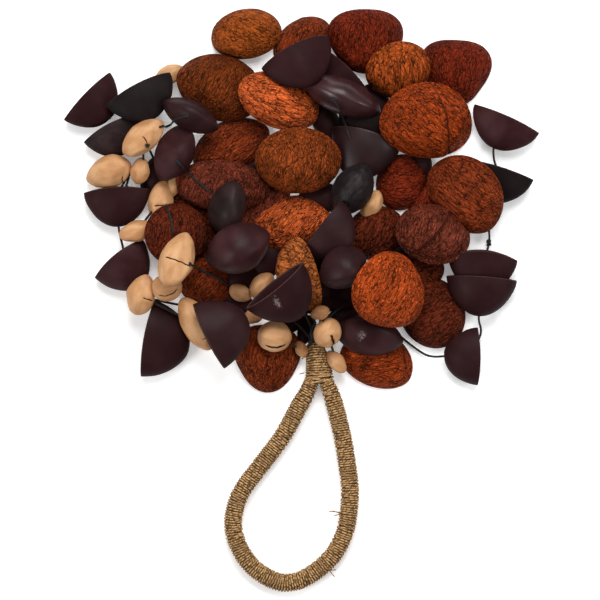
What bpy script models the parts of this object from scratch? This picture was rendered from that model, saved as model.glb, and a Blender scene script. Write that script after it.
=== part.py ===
"""A shaker of dried seed shells on black cords, gathered into a twine-wound hand loop.

It lies flat as it comes to rest: +Z is up, the hand loop points along -Y, and the origin is under
the middle of the whole. Lengths are written in millimetres and turned into metres by MM.
Each shell lies where the layout puts it in plan, and settle() lowers and tilts it onto the
pieces that were laid before it.
"""

import math

import bmesh
import bpy
import numpy as np
from mathutils import Matrix, Vector

MM = 0.001

# Clearances
LAY_GAP = 0.35 * MM  # between a shell and what it lies on
FIT_GAP = 0.3 * MM  # between the twine and the core inside it

# Shells
BROWN_WALL = 1.5 * MM
DARK_WALL = 1.6 * MM
SHELL_HOLE = 3.0 * MM  # the cord hole at the top of each shell
BROWN_FULLNESS = 0.55  # 0.5 is an ellipse from the side, 1 a parabola
DARK_FULLNESS = 0.62
DARK_PINCH = 0.35  # how pointed the ends of a dark shell's rim are
NEST_OFFSET = 11.0 * MM  # how far a shell that sits in another stands out of it
SHELL_SIDES = 12
OUTER_RINGS = (0.55, 0.88, 1.0)  # shares of the rim's size, from the hole to the rim
INNER_RINGS = (1.0, 0.62)

# Nuts
NUT_SIDES = 8
NUT_RINGS = (-0.86, -0.5, 0.0, 0.5, 0.86)  # places along half the length
NUT_FULLNESS = 0.62

# Cords
CORD_DIAMETER = 1.3 * MM
CORD_STEP = 3.0  # route points are this many diameters apart

# Handle
CORE_LOOP_RADIUS = 3.6 * MM
CORE_NECK_RADIUS = 2.8 * MM
CORE_TOP_RADIUS = 1.95 * MM
TWINE_DIAMETER = 1.1 * MM
TURN_PITCH = 3.2 * MM  # each ridge stands for a few turns of the twine
TURN_DEPTH = 0.5 * MM
SLEEVE_SIDES = 8
BINDING_SIDES = 12
LOOP_HEIGHT = 5.0 * MM  # the loop's centre line above the surface
NECK_HEIGHT = 4.7 * MM
NECK_TOP_Y = -24.0 * MM
NECK_END_Y = -45.0 * MM
LOOP_START_Y = -46.0 * MM
NECK_EASE = 10.0 * MM  # the stretch over which the core narrows and drops into the neck

# Centre line of the core in plan, in mm: up one leg of the neck, round the loop and back
CORE_ROUTE = (
    (7.6, -14.0), (6.4, -24.0), (7.0, -36.0), (6.6, -44.0), (3.6, -51.5), (-1.0, -59.4),
    (-9.4, -74.8), (-20.9, -90.2), (-31.9, -105.0), (-36.3, -117.0), (-36.5, -127.6),
    (-32.5, -138.5), (-25.9, -147.4), (-17.0, -153.5), (-8.8, -156.0), (0.5, -154.4),
    (10.5, -148.2), (19.3, -139.2), (24.8, -127.6), (27.0, -116.0), (27.5, -102.9),
    (25.9, -90.2), (23.7, -76.5), (20.6, -63.3), (17.2, -51.5), (14.2, -44.0),
    (13.8, -36.0), (10.7, -24.0), (11.9, -14.0),
)
CORE_STEP = 4.0 * MM
BORE_STRIDE = 3  # the bore of the loop's twine has a ring at every third ridge or groove

LINE_SAMPLES = 24  # points tried between two of a route's own points

# The heap's height map
CELL = 0.4 * MM
MAP_MARGIN = 10.0 * MM  # the map's reach is rounded up to a whole number of these
TILT_LIMIT = math.radians(26)
SIDE_TILT_LIMIT = math.radians(9)  # for a shell that its cord holds on its side
TILT_STEPS = (8.0, 4.0, 2.0, 1.0)  # degrees, coarse to fine
TILT_COST = 2.0 * MM  # height that a tilt of one radian squared has to save

# Layout from the bottom of the heap to the top. Each row holds: name, x and y in plan, heading of
# the long axis, size as length, width and depth (mm and degrees), lean and the outline's form.
# Lean 0 lies with the dome up, and 90 lies on its side with the rim upright. A nut has no depth.
LAYOUT = (
    ("brown_shell_02", 1.5, 142, 35, (36, 26, 12), 0, {}),
    ("brown_shell_01", -29.5, 146, 7, (40, 28.5, 12), 0, {"flat": 0.06}),
    ("brown_shell_03", 36, 144, 0, (42, 36, 13), 0, {"point": 0.07, "toward": -90}),
    ("brown_shell_05", 86, 127, -8, (39, 37, 13), 0, {"point": 0.09, "toward": -85}),
    ("brown_shell_09", -38, 85, 25, (46, 29, 13), 0, {"pinch": 0.2}),
    ("brown_shell_17", 56, 65, 70, (32, 28, 12), 0, {}),
    ("brown_shell_19", 42, 37, 20, (34, 30, 12), 0, {}),
    ("brown_shell_14", -52, 10, -25, (32, 28, 11), 0, {}),
    ("brown_shell_21", 73, -7, -60, (41, 36, 13), 0, {}),
    ("brown_shell_22", 42, -35, -20, (42, 31, 12), 0, {"flat": 0.15}),
    ("brown_shell_23", -18, -31, 15, (37, 38, 12), 0, {"point": 0.07, "toward": -105}),
    ("dark_shell_15", 27, 126, -45, (30, 16, 17), 80, {}),
    ("dark_shell_24", 110, 72, -17, (39, 16, 19), 84, {}),
    ("dark_shell_23", 114, 100, -24, (39, 16, 18), 84, {}),
    ("dark_shell_03", -102, 95, 25, (38, 16, 16), 80, {}),
    ("dark_shell_01", -117.6, 112.4, 46, (36.4, 16.4, 18), 84, {}),
    ("dark_shell_07", -101, 60, 3, (36.4, 16, 20), 84, {}),
    ("dark_shell_08", -100, 23, 39, (34, 16, 20), 80, {}),
    ("dark_shell_09", -84, -21, 80, (43, 18, 24), 82, {}),
    ("dark_shell_26", 100, 12, -4, (39, 19, 21), 84, {}),
    ("dark_shell_27", 98, -31, -90, (32, 16, 19), 84, {}),
    ("brown_shell_07", -44, 117, -15, (51, 37, 15), 0, {"pinch": 0.2}),
    ("dark_shell_02", -89, 116, 28, (40, 16, 19), 80, {}),
    ("nut_02", -105.4, 70.6, 20, (27, 18, 0), 0, {}),
    ("nut_03", -88, 71, 80, (15, 11, 0), 0, {}),
    ("nut_01", -86, 89, 40, (28, 16, 0), 0, {}),
    ("brown_shell_04", 54, 127, 20, (37, 33, 13), 0, {}),
    ("brown_shell_08", -12, 109.5, -20, (51, 30, 15), 0, {}),
    ("brown_shell_11", -43, 62, -5, (53, 30, 14), 0, {"flat": 0.12}),
    ("nut_04", -77, 55, 80, (23, 14, 0), 0, {}),
    ("nut_05", -89.5, 38, 15, (21, 12, 0), 0, {}),
    ("brown_shell_16", 90, 57, -45, (48, 40, 14), 0, {"flat": 0.15}),
    ("brown_shell_13", -68, 36, -10, (39, 35, 13), 0, {}),
    ("brown_shell_12", -5, 42, 15, (45, 31, 14), 0, {}),
    ("dark_shell_28", 36.7, 89.5, -17, (39, 19, 24), 76, {}),
    ("brown_shell_06", 69, 96, -10, (56, 43, 16), 0, {"flat": 0.15}),
    ("dark_shell_18", 29, 61, 60, (34, 22, 14), 0, {}),
    ("brown_shell_10", -1, 77, 0, (48, 39, 15), 0, {}),
    ("dark_shell_16", 23, 112, -22, (46, 20, 15), 10, {}),
    ("dark_shell_14", -3, 136, 27, (41, 17, 22), 78, {}),
    ("dark_shell_05", -69.6, 81, 65, (34, 22, 16), 5, {}),
    ("dark_shell_04", -60, 101, -27, (34, 17, 13), 15, {}),
    ("dark_shell_11", -40, 51, 75, (33, 21, 15), 0, {}),
    ("nut_10", -33, 4, -25, (14, 10, 0), 0, {}),
    ("nut_11", -21, 8, 45, (18, 12, 0), 0, {}),
    ("dark_shell_12", -34, 29, 25, (38, 29, 16), 0, {}),
    ("brown_shell_18", 73, 36, -10, (43, 34, 14), 0, {}),
    ("dark_shell_19", 12, 40, 53, (36, 16, 20), 75, {}),
    ("brown_shell_15", 4, 15, -75, (42, 30, 18), 60, {}),
    ("nut_07", -87, 3, 75, (24, 16, 0), 0, {}),
    ("nut_08", -73, 7, 0, (17, 15, 0), 0, {}),
    ("nut_06", -67, 22, 72, (33, 19, 0), 0, {}),
    ("nut_09", -57, -13, -60, (33, 17, 0), 0, {}),
    ("nut_12", -14, -20, 0, (19, 17, 0), 0, {}),
    ("nut_17", 0.7, -27, -60, (10, 7, 0), 0, {}),
    ("dark_shell_10", -50, -20, 116, (39, 18, 24), 84, {}),
    ("dark_shell_20", 23, 18, 30, (29, 24, 15), 0, {}),
    ("nut_16", 20, -34, -50, (15, 9, 0), 0, {}),
    ("dark_shell_22", 38, -20, -12, (39, 23, 15), 0, {}),
    ("brown_shell_20", 48, 5, -40, (45, 41, 15), 0, {"point": 0.05, "toward": 120}),
    ("nut_15", 11, -7, 20, (11, 8, 0), 0, {}),
    ("nut_14", 15, -18, 60, (17, 15, 0), 0, {}),
    ("dark_shell_13", -14, 8, 39, (40, 17, 24), 104, {}),
)

# Shells that sit in the mouth of another: the carrier, then the inner shell and its size
NESTED = {
    "dark_shell_26": ("dark_shell_25", (38, 15, 20)),
    "dark_shell_28": ("dark_shell_17", (38, 15, 22)),
}

# Nuts that share a cord, in order along it
NUT_STRINGS = {
    "nut_string_1": ("nut_02", "nut_03", "nut_01"),
    "nut_string_2": ("nut_04", "nut_05"),
    "nut_string_3": ("nut_06", "nut_08", "nut_07", "nut_09"),
    "nut_string_4": ("nut_10", "nut_11"),
    "nut_string_5": ("nut_12", "nut_17"),
    "nut_string_6": ("nut_15", "nut_14", "nut_16"),
}

# Routes of the free cords (x, y and height in mm), chosen by hand through the shells' holes
CORD_ROUTES = {
    "cord_right": (
        (12.2, -13.4, 4.7), (13.6, -10.2, 4.6), (18.0, -8.4, 3.8), (26.0, -8.4, 2.4),
        (36.0, -9.0, 1.4), (45.0, -11.0, 1.2), (52.0, -17.0, 1.2), (59.0, -23.0, 1.2),
        (68.0, -29.5, 2.6), (73.5, -31.2, 5.4), (79.0, -31.0, 7.3), (86.0, -30.4, 7.6),
        (92.0, -28.2, 7.9), (97.0, -24.0, 8.0), (99.4, -19.3, 8.0), (99.6, -15.6, 8.0),
        (98.7, -12.2, 8.3), (98.5, -8.9, 8.6), (99.0, -3.0, 8.9), (99.4, 3.0, 9.2),
        (100.0, 12.0, 9.4), (101.0, 22.0, 9.2), (103.0, 27.0, 7.4), (104.3, 32.0, 6.0),
        (104.3, 38.0, 5.6), (103.9, 44.0, 6.0), (103.6, 50.0, 6.7), (104.4, 53.9, 7.0),
        (107.2, 63.0, 7.6), (108.6, 71.0, 7.8), (107.0, 77.0, 7.2), (106.7, 83.6, 7.0),
        (108.8, 89.5, 7.4),
    ),
    "cord_left": (
        (-95.3, 67.6, 6.4), (-97.6, 63.6, 7.4), (-100.2, 58.0, 8.0), (-100.3, 49.0, 7.6),
        (-99.9, 40.0, 7.2), (-99.0, 35.0, 7.4), (-97.8, 30.0, 7.8), (-96.4, 23.5, 8.0),
        (-93.5, 16.5, 8.2), (-90.2, 11.6, 8.3),
    ),
}

# Colour and roughness of each kind of piece
FINISHES = {
    "brown": ((0.22, 0.07, 0.02), 0.7),
    "dark": ((0.025, 0.012, 0.013), 0.35),
    "nut": ((0.62, 0.40, 0.22), 0.75),
    "cord": ((0.01, 0.01, 0.01), 0.6),
    "core": ((0.02, 0.018, 0.016), 0.7),
    "twine": ((0.40, 0.25, 0.11), 0.85),
}


def clear_scene():
    """Remove every object the file opened with."""
    for item in list(bpy.data.objects):
        bpy.data.objects.remove(item, do_unlink=True)


def material(name, colour, roughness):
    """A plain Principled material for one piece."""
    mat = bpy.data.materials.new(name)
    mat.use_nodes = True
    shader = mat.node_tree.nodes["Principled BSDF"]
    shader.inputs["Base Color"].default_value = (*colour, 1.0)
    shader.inputs["Roughness"].default_value = roughness
    shader.inputs["Metallic"].default_value = 0.0
    return mat


def add_object(name, mesh, colour, roughness):
    """Link a mesh as a named object with a material of its own, shaded smooth."""
    mesh.shade_smooth()
    mesh.set_sharp_from_angle(angle=math.radians(50))
    mesh.materials.clear()
    mesh.materials.append(material(name, colour, roughness))
    item = bpy.data.objects.new(name, mesh)
    bpy.context.scene.collection.objects.link(item)
    return item


def bridge_rings(bm, rings, closed):
    """Join rings of vertices, one to the next, and the last to the first if closed."""
    pairs = list(zip(rings, rings[1:]))
    if closed:
        pairs.append((rings[-1], rings[0]))
    for low, high in pairs:
        count = len(low)
        for i in range(count):
            j = (i + 1) % count
            bm.faces.new((low[i], low[j], high[j], high[i]))


def finish_mesh(bm, name):
    """Turn a bmesh into a mesh whose faces point outwards."""
    bmesh.ops.recalc_face_normals(bm, faces=bm.faces[:])
    mesh = bpy.data.meshes.new(name)
    bm.to_mesh(mesh)
    bm.free()
    return mesh


def rim_point(angle, length, width, point=0.0, toward=0.0, flat=0.0, pinch=0.0):
    """A point of the rim's outline at an angle, round a long axis along X."""
    reach = 1 + point * math.cos(3 * (angle - math.radians(toward)))
    x = length / 2 * math.cos(angle) * reach
    side = math.sin(angle)
    y = width / 2 * side * abs(side) ** pinch * reach
    y *= 1 + flat if side > 0 else 1 - flat
    return x, y


def shell_mesh(name, length, width, depth, wall, fullness, form):
    """A thin half shell, rim down on Z = 0, with a cord hole at the top of the dome."""
    bm = bmesh.new()
    rings = []
    hole = SHELL_HOLE / 2

    def ring(share, long, wide, high):
        level = high * (1 - share**2) ** fullness
        angles = [2 * math.pi * i / SHELL_SIDES for i in range(SHELL_SIDES)]
        points = [rim_point(a, long, wide, **form) for a in angles]
        return [bm.verts.new((share * x, share * y, level)) for x, y in points]

    def hole_ring(long, wide, high):
        level = high * (1 - (hole / (wide / 2)) ** 2) ** fullness
        angles = [2 * math.pi * i / SHELL_SIDES for i in range(SHELL_SIDES)]
        return [bm.verts.new((hole * math.cos(a), hole * math.sin(a), level)) for a in angles]

    inside = (length - 2 * wall, width - 2 * wall, depth - wall)
    rings.append(hole_ring(length, width, depth))
    rings += [ring(share, length, width, depth) for share in OUTER_RINGS]
    rings += [ring(share, *inside) for share in INNER_RINGS]
    rings.append(hole_ring(*inside))
    bridge_rings(bm, rings, closed=True)
    return finish_mesh(bm, name)


def nut_mesh(name, length, width):
    """A whole nut: a pointed oval about a long axis along X."""
    bm = bmesh.new()
    rings = []
    for place in NUT_RINGS:
        radius = width / 2 * (1 - place**2) ** NUT_FULLNESS
        angles = [2 * math.pi * i / NUT_SIDES for i in range(NUT_SIDES)]
        rings.append(
            [
                bm.verts.new((place * length / 2, radius * math.cos(a), radius * math.sin(a)))
                for a in angles
            ]
        )
    bridge_rings(bm, rings, closed=False)
    for ring, end in ((rings[0], -length / 2), (rings[-1], length / 2)):
        tip = bm.verts.new((end, 0, 0))
        for i in range(NUT_SIDES):
            bm.faces.new((ring[i], ring[(i + 1) % NUT_SIDES], tip))
    return finish_mesh(bm, name)


class Heap:
    """The height of what has been laid so far, on a square grid over the surface."""

    def __init__(self):
        shells = max(max(abs(x), abs(y)) + size[0] / 2 for _, x, y, _, size, _, _ in LAYOUT) * MM
        loop = max(abs(y) for _, y in CORE_ROUTE) * MM + LOOP_HEIGHT
        self.half = math.ceil(max(shells, loop) / MAP_MARGIN) * MAP_MARGIN
        self.count = round(2 * self.half / CELL)
        self.top = np.full((self.count, self.count), -LAY_GAP)

    def cells(self, values):
        """Grid numbers of plan coordinates."""
        return np.clip(((values + self.half) / CELL).astype(int), 1, self.count - 2)

    def widened(self):
        """The heap's height, each cell raised to its highest neighbour."""
        high = self.top
        for axis in (0, 1):
            high = np.maximum(high, np.maximum(np.roll(high, 1, axis), np.roll(high, -1, axis)))
        return high

    def scan(self, corners, triangles, level, highest):
        """Write the triangles' highest or lowest level into a grid."""
        choose = np.maximum if highest else np.minimum
        for a, b, c in corners[triangles]:
            area = (b[0] - a[0]) * (c[1] - a[1]) - (c[0] - a[0]) * (b[1] - a[1])
            if abs(area) < 1e-12:
                continue
            x0, y0 = self.cells(np.minimum(np.minimum(a, b), c)[:2])
            x1, y1 = self.cells(np.maximum(np.maximum(a, b), c)[:2])
            xs = (np.arange(x0, x1 + 1) + 0.5) * CELL - self.half
            ys = (np.arange(y0, y1 + 1) + 0.5) * CELL - self.half
            gx, gy = np.meshgrid(xs, ys, indexing="ij")
            u = ((gx - a[0]) * (c[1] - a[1]) - (c[0] - a[0]) * (gy - a[1])) / area
            v = ((b[0] - a[0]) * (gy - a[1]) - (gx - a[0]) * (b[1] - a[1])) / area
            inside = (u >= -1e-9) & (v >= -1e-9) & (u + v <= 1 + 1e-9)
            here = a[2] + u * (b[2] - a[2]) + v * (c[2] - a[2])
            patch = level[x0 : x1 + 1, y0 : y1 + 1]
            patch[inside] = choose(patch[inside], here[inside])

    def lay(self, corners, triangles):
        """Add a placed mesh to the heap."""
        self.scan(corners, triangles, self.top, highest=True)

    def drop(self, corners, triangles):
        """How far above Z = 0 a mesh comes to rest."""
        under = np.full_like(self.top, np.inf)
        self.scan(corners, triangles, under, highest=False)
        covered = np.isfinite(under)
        return float((self.widened()[covered] - under[covered]).max()) + LAY_GAP


def mesh_arrays(mesh):
    """Corners and triangles of a mesh as arrays."""
    mesh.calc_loop_triangles()
    corners = np.array([v.co[:] for v in mesh.vertices])
    triangles = np.array([t.vertices[:] for t in mesh.loop_triangles])
    return corners, triangles


def surface_samples(corners, triangles):
    """Points spread over each triangle: its corners, edge middles and inner points."""
    weights = [
        (1, 0, 0), (0, 1, 0), (0, 0, 1), (0.5, 0.5, 0), (0, 0.5, 0.5), (0.5, 0, 0.5),
        (0.34, 0.33, 0.33), (0.6, 0.2, 0.2), (0.2, 0.6, 0.2), (0.2, 0.2, 0.6),
    ]
    return np.concatenate([np.einsum("k,nkd->nd", np.array(w), corners[triangles]) for w in weights])


def tilted(x_turn, y_turn):
    """The turn that tips a piece by two angles about the plan's axes."""
    axis = Vector((x_turn, y_turn, 0.0))
    if axis.length < 1e-9:
        return Matrix.Identity(3)
    return Matrix.Rotation(axis.length, 3, axis.normalized())


def group_arrays(group):
    """Corners and triangles of meshes that share an axis, each at its offset along it."""
    corners, triangles, count = [], [], 0
    for _, mesh, offset in group:
        points, faces = mesh_arrays(mesh)
        corners.append(points + (0.0, 0.0, offset))
        triangles.append(faces + count)
        count += len(points)
    return np.concatenate(corners), np.concatenate(triangles)


def settle(heap, group, x, y, heading, lean):
    """Lay a group at a place in plan: the tilt that lets it lie lowest, then its height."""
    limit = SIDE_TILT_LIMIT if lean > math.radians(45) else TILT_LIMIT
    corners, triangles = group_arrays(group)
    samples = surface_samples(corners, triangles)
    middle = corners.mean(axis=0)
    upright = Matrix.Rotation(heading, 3, "Z") @ Matrix.Rotation(lean, 3, "X")
    high = heap.widened()

    def rest_height(x_turn, y_turn):
        turn = np.array(tilted(x_turn, y_turn) @ upright)
        points = samples @ turn.T + (x, y, 0.0)
        columns, rows = heap.cells(points[:, 0]), heap.cells(points[:, 1])
        rise = (high[columns, rows] - points[:, 2]).max()
        tilt_cost = TILT_COST * (x_turn**2 + y_turn**2)
        return rise + (turn @ middle)[2] + tilt_cost

    best, lowest = (0.0, 0.0), rest_height(0.0, 0.0)
    reach = 3
    for step in (math.radians(s) for s in TILT_STEPS):
        start = best
        for i in range(-reach, reach + 1):
            for j in range(-reach, reach + 1):
                trial = (start[0] + i * step, start[1] + j * step)
                if math.hypot(*trial) > limit:
                    continue
                level = rest_height(*trial)
                if level < lowest:
                    best, lowest = trial, level
        reach = 1
    turn = tilted(*best) @ upright
    placed = corners @ np.array(turn).T + (x, y, 0.0)
    rise = heap.drop(placed, triangles)
    heap.lay(placed + (0.0, 0.0, rise), triangles)
    return Vector((x, y, rise)), turn


def smooth_line(points, step):
    """Points at even steps along a smooth curve through hand-chosen points."""
    route = [np.array(p, float) for p in points]
    ends = [2 * route[0] - route[1]] + route + [2 * route[-1] - route[-2]]
    fine = []
    for a, b, c, d in zip(ends, ends[1:], ends[2:], ends[3:]):
        for t in np.linspace(0, 1, LINE_SAMPLES, endpoint=False):
            fine.append(
                0.5 * (2 * b + (c - a) * t + (2 * a - 5 * b + 4 * c - d) * t**2
                       + (3 * b - a - 3 * c + d) * t**3)
            )
    fine.append(route[-1])
    fine = np.array(fine)
    along = np.concatenate([[0], np.cumsum(np.linalg.norm(np.diff(fine, axis=0), axis=1))])
    places = np.linspace(0, along[-1], max(3, round(along[-1] / step) + 1))
    return np.column_stack([np.interp(places, along, fine[:, k]) for k in range(fine.shape[1])])


def section_ring(bm, centre, across, radius, spread=0.0):
    """A ring of vertices round a level line: a circle, or a slot round two legs spread apart."""
    sides = SLEEVE_SIDES if spread == 0 else BINDING_SIDES
    first = 0 if spread == 0 else math.pi / sides
    ring = []
    for i in range(sides):
        angle = first + 2 * math.pi * i / sides
        out = across * (radius * math.cos(angle) + math.copysign(spread, math.cos(angle)))
        ring.append(
            bm.verts.new(
                (centre[0] + out[0], centre[1] + out[1], centre[2] + radius * math.sin(angle))
            )
        )
    return ring


def across_line(line):
    """The level direction across each point of a line."""
    along = np.gradient(line[:, :2], axis=0)
    along /= np.linalg.norm(along, axis=1)[:, None]
    return np.column_stack([-along[:, 1], along[:, 0]])


def core_height(y):
    """The core's centre line above the surface, a little lower in the neck."""
    share = np.clip((y - LOOP_START_Y) / NECK_EASE + 1, 0, 1)
    return LOOP_HEIGHT + (NECK_HEIGHT - LOOP_HEIGHT) * share


def core_radius(y):
    """The core narrows into the neck and again where the cords leave it."""
    stations = (LOOP_START_Y - NECK_EASE, NECK_END_Y, NECK_TOP_Y)
    sizes = (CORE_LOOP_RADIUS, CORE_NECK_RADIUS, CORE_TOP_RADIUS)
    return np.interp(y, stations, sizes)


def core_line(step):
    """The core's centre line in metres."""
    plan = smooth_line(np.array(CORE_ROUTE) * MM, step)
    return np.column_stack([plan, core_height(plan[:, 1])])


def build_core():
    """The rope core: a solid tube down one leg, round the loop and up the other."""
    bm = bmesh.new()
    line = core_line(CORE_STEP)
    rings = [
        section_ring(bm, centre, across, core_radius(centre[1]))
        for centre, across in zip(line, across_line(line))
    ]
    bridge_rings(bm, rings, closed=False)
    bm.faces.new(rings[0])
    bm.faces.new(rings[-1])
    return add_object("handle_core", finish_mesh(bm, "handle_core"), *FINISHES["core"])


def build_loop_twine():
    """Twine wound round the loop: a sleeve with a ridge for every few turns."""
    bm = bmesh.new()
    line = core_line(TURN_PITCH / 2)
    line = line[line[:, 1] < LOOP_START_Y]
    if len(line) % 2 == 0:
        line = line[:-1]
    across = across_line(line)
    bore = core_radius(line[:, 1]) + FIT_GAP
    rings = []
    for i, centre in enumerate(line):
        radius = bore[i] + TWINE_DIAMETER - (TURN_DEPTH if i % 2 == 0 else 0)
        rings.append(section_ring(bm, centre, across[i], radius))
    inner = list(range(len(line) - 1, 0, -BORE_STRIDE)) + [0]
    for i in inner:
        rings.append(section_ring(bm, line[i], across[i], bore[i]))
    bridge_rings(bm, rings, closed=True)
    return add_object("loop_twine", finish_mesh(bm, "loop_twine"), *FINISHES["twine"])


def neck_sections():
    """Centre, across and bore half width of the neck's binding, from its top to its end."""
    line = core_line(TURN_PITCH / 2)
    half = len(line) // 2
    levels = np.arange(NECK_TOP_Y, NECK_END_Y, -TURN_PITCH / 2)
    left = np.interp(-levels, -line[:half, 1], line[:half, 0])
    right = np.interp(-levels, -line[half:, 1][::-1], line[half:, 0][::-1])
    return levels, (left + right) / 2, (right - left) / 2


def build_neck_binding():
    """Twine wound round both legs at the neck."""
    bm = bmesh.new()
    levels, middle, spread = neck_sections()
    across = np.array((1.0, 0.0))
    rings, bores = [], []
    for i, y in enumerate(levels):
        bore = core_radius(y) + FIT_GAP
        centre = (middle[i], y, core_height(y))
        radius = bore + TWINE_DIAMETER - (TURN_DEPTH if i % 2 == 0 else 0)
        rings.append(section_ring(bm, centre, across, radius, spread[i]))
        bores.append((centre, across, bore, spread[i]))
    for bore in reversed(bores):
        rings.append(section_ring(bm, *bore))
    bridge_rings(bm, rings, closed=True)
    return add_object("neck_binding", finish_mesh(bm, "neck_binding"), *FINISHES["twine"])


def piece_mesh(name, length, width, depth, form):
    """The mesh of one shell or nut, in its own frame."""
    if name.startswith("nut"):
        return nut_mesh(name, length, width)
    if name.startswith("brown"):
        return shell_mesh(name, length, width, depth, BROWN_WALL, BROWN_FULLNESS, form)
    form = {"pinch": DARK_PINCH, **form}
    return shell_mesh(name, length, width, depth, DARK_WALL, DARK_FULLNESS, form)


def build_heap(heap):
    """Lay every shell and nut of the layout, from the bottom of the heap to the top."""
    laid = {}
    for name, x, y, heading, size, lean, form in LAYOUT:
        group = [(name, piece_mesh(name, *(s * MM for s in size), form), 0.0)]
        if name in NESTED:
            inner, inner_size = NESTED[name]
            inner_mesh = piece_mesh(inner, *(s * MM for s in inner_size), {})
            group.append((inner, inner_mesh, -NEST_OFFSET))
        angles = (math.radians(heading), math.radians(lean))
        place, turn = settle(heap, group, x * MM, y * MM, *angles)
        for part, mesh, offset in group:
            item = add_object(part, mesh, *FINISHES[part.split("_")[0]])
            item.location = place + turn @ Vector((0.0, 0.0, offset))
            item.rotation_euler = turn.to_euler()
            laid[part] = item
    return laid


def tube_mesh(name, line, radius, sides):
    """A solid tube along a line in space, with flat ends."""
    bm = bmesh.new()
    rings = []
    along = np.gradient(line, axis=0)
    side = Vector((0.0, 0.0, 1.0))
    for centre, direction in zip(line, along):
        forward = Vector(direction).normalized()
        side = (side - forward * side.dot(forward)).normalized()
        other = forward.cross(side)
        angles = [2 * math.pi * i / sides for i in range(sides)]
        rings.append(
            [
                bm.verts.new(Vector(centre) + (side * math.cos(a) + other * math.sin(a)) * radius)
                for a in angles
            ]
        )
    bridge_rings(bm, rings, closed=False)
    bm.faces.new(rings[0])
    bm.faces.new(rings[-1])
    return finish_mesh(bm, name)


def build_nut_strings(laid):
    """Join the nuts that share a cord to the run of cord between them."""
    for name, members in NUT_STRINGS.items():
        nuts = [laid[member] for member in members]
        line = smooth_line([nut.location for nut in nuts], CORD_STEP * CORD_DIAMETER)
        tube = tube_mesh(name, line, CORD_DIAMETER / 2, NUT_SIDES)
        string = add_object(name, tube, *FINISHES["nut"])
        for nut in nuts:
            join = string.modifiers.new(nut.name, "BOOLEAN")
            join.operation = "UNION"
            join.object = nut
            nut.hide_render = True
            nut.display_type = "WIRE"


def build_cords():
    """The free cords, each a tube along a smooth curve through its route's points."""
    for name, route in CORD_ROUTES.items():
        line = smooth_line(np.array(route) * MM, CORD_STEP * CORD_DIAMETER)
        curve = bpy.data.curves.new(name, "CURVE")
        curve.dimensions = "3D"
        curve.bevel_depth = CORD_DIAMETER / 2
        curve.bevel_resolution = 2
        curve.use_fill_caps = True
        spline = curve.splines.new("POLY")
        spline.points.add(len(line) - 1)
        for point, place in zip(spline.points, line):
            point.co = (*place, 1.0)
        spline.use_smooth = True
        curve.materials.append(material(name, *FINISHES["cord"]))
        item = bpy.data.objects.new(name, curve)
        bpy.context.scene.collection.objects.link(item)


def main():
    """Build the handle first, then the heap that lies over its neck."""
    clear_scene()
    heap = Heap()
    for piece in (build_core(), build_loop_twine(), build_neck_binding()):
        heap.lay(*mesh_arrays(piece.data))
    laid = build_heap(heap)
    bpy.context.view_layer.update()
    build_nut_strings(laid)
    build_cords()


main()
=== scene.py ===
"""Looks of a shaker of dried seed shells on black cords, with a twine-wound hand loop."""

import math

import bmesh
import bpy
import numpy as np
from bpy.props import FloatProperty, FloatVectorProperty, IntProperty, PointerProperty
from mathutils import Matrix, Vector, kdtree, noise


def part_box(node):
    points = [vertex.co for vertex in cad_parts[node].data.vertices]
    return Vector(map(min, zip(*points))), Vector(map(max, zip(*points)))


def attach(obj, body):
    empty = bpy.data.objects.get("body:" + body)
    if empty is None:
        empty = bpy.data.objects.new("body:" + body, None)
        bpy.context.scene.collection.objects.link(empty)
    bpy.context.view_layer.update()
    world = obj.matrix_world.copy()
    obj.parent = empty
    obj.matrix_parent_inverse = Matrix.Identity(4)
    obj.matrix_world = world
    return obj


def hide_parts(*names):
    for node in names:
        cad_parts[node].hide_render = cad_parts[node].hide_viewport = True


bl_info = {
    "name": "Seed Shaker",
    "version": (1, 0, 0),
    "blender": (4, 5, 0),
    "location": "3D View > Sidebar > Seed Shaker",
    "description": "Seed shells, nuts, cords and a twine-wound hand loop on a packed frame",
    "category": "Object",
}

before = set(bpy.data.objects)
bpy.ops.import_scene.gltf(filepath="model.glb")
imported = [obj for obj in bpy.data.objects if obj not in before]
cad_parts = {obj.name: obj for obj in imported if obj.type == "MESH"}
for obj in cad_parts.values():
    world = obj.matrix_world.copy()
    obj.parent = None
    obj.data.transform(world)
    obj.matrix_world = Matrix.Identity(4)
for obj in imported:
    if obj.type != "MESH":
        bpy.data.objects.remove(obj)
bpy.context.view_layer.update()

MM = 0.001

# Sizes that the frame's shells and nuts were laid with
BROWN_WALL, BROWN_FULLNESS = 1.5, 0.55
DARK_WALL, DARK_FULLNESS, DARK_FORM = 1.6, 0.62, {"pinch": 0.35}
HOLE = 3.0
FRAME_SIDES = 12
FRAME_OUTER = (0.55, 0.88, 1.0)
FRAME_INNER = (1.0, 0.62)
FRAME_NUT_SIDES = 8
FRAME_NUT_RINGS = (-0.86, -0.5, 0.0, 0.5, 0.86)
NUT_FULLNESS = 0.62
NEST_OFFSET = 11.0
TILT_LIMIT = 26
POSE_LIMIT = 0.5  # how far in mm a pose may miss the box of the frame's shell

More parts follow.
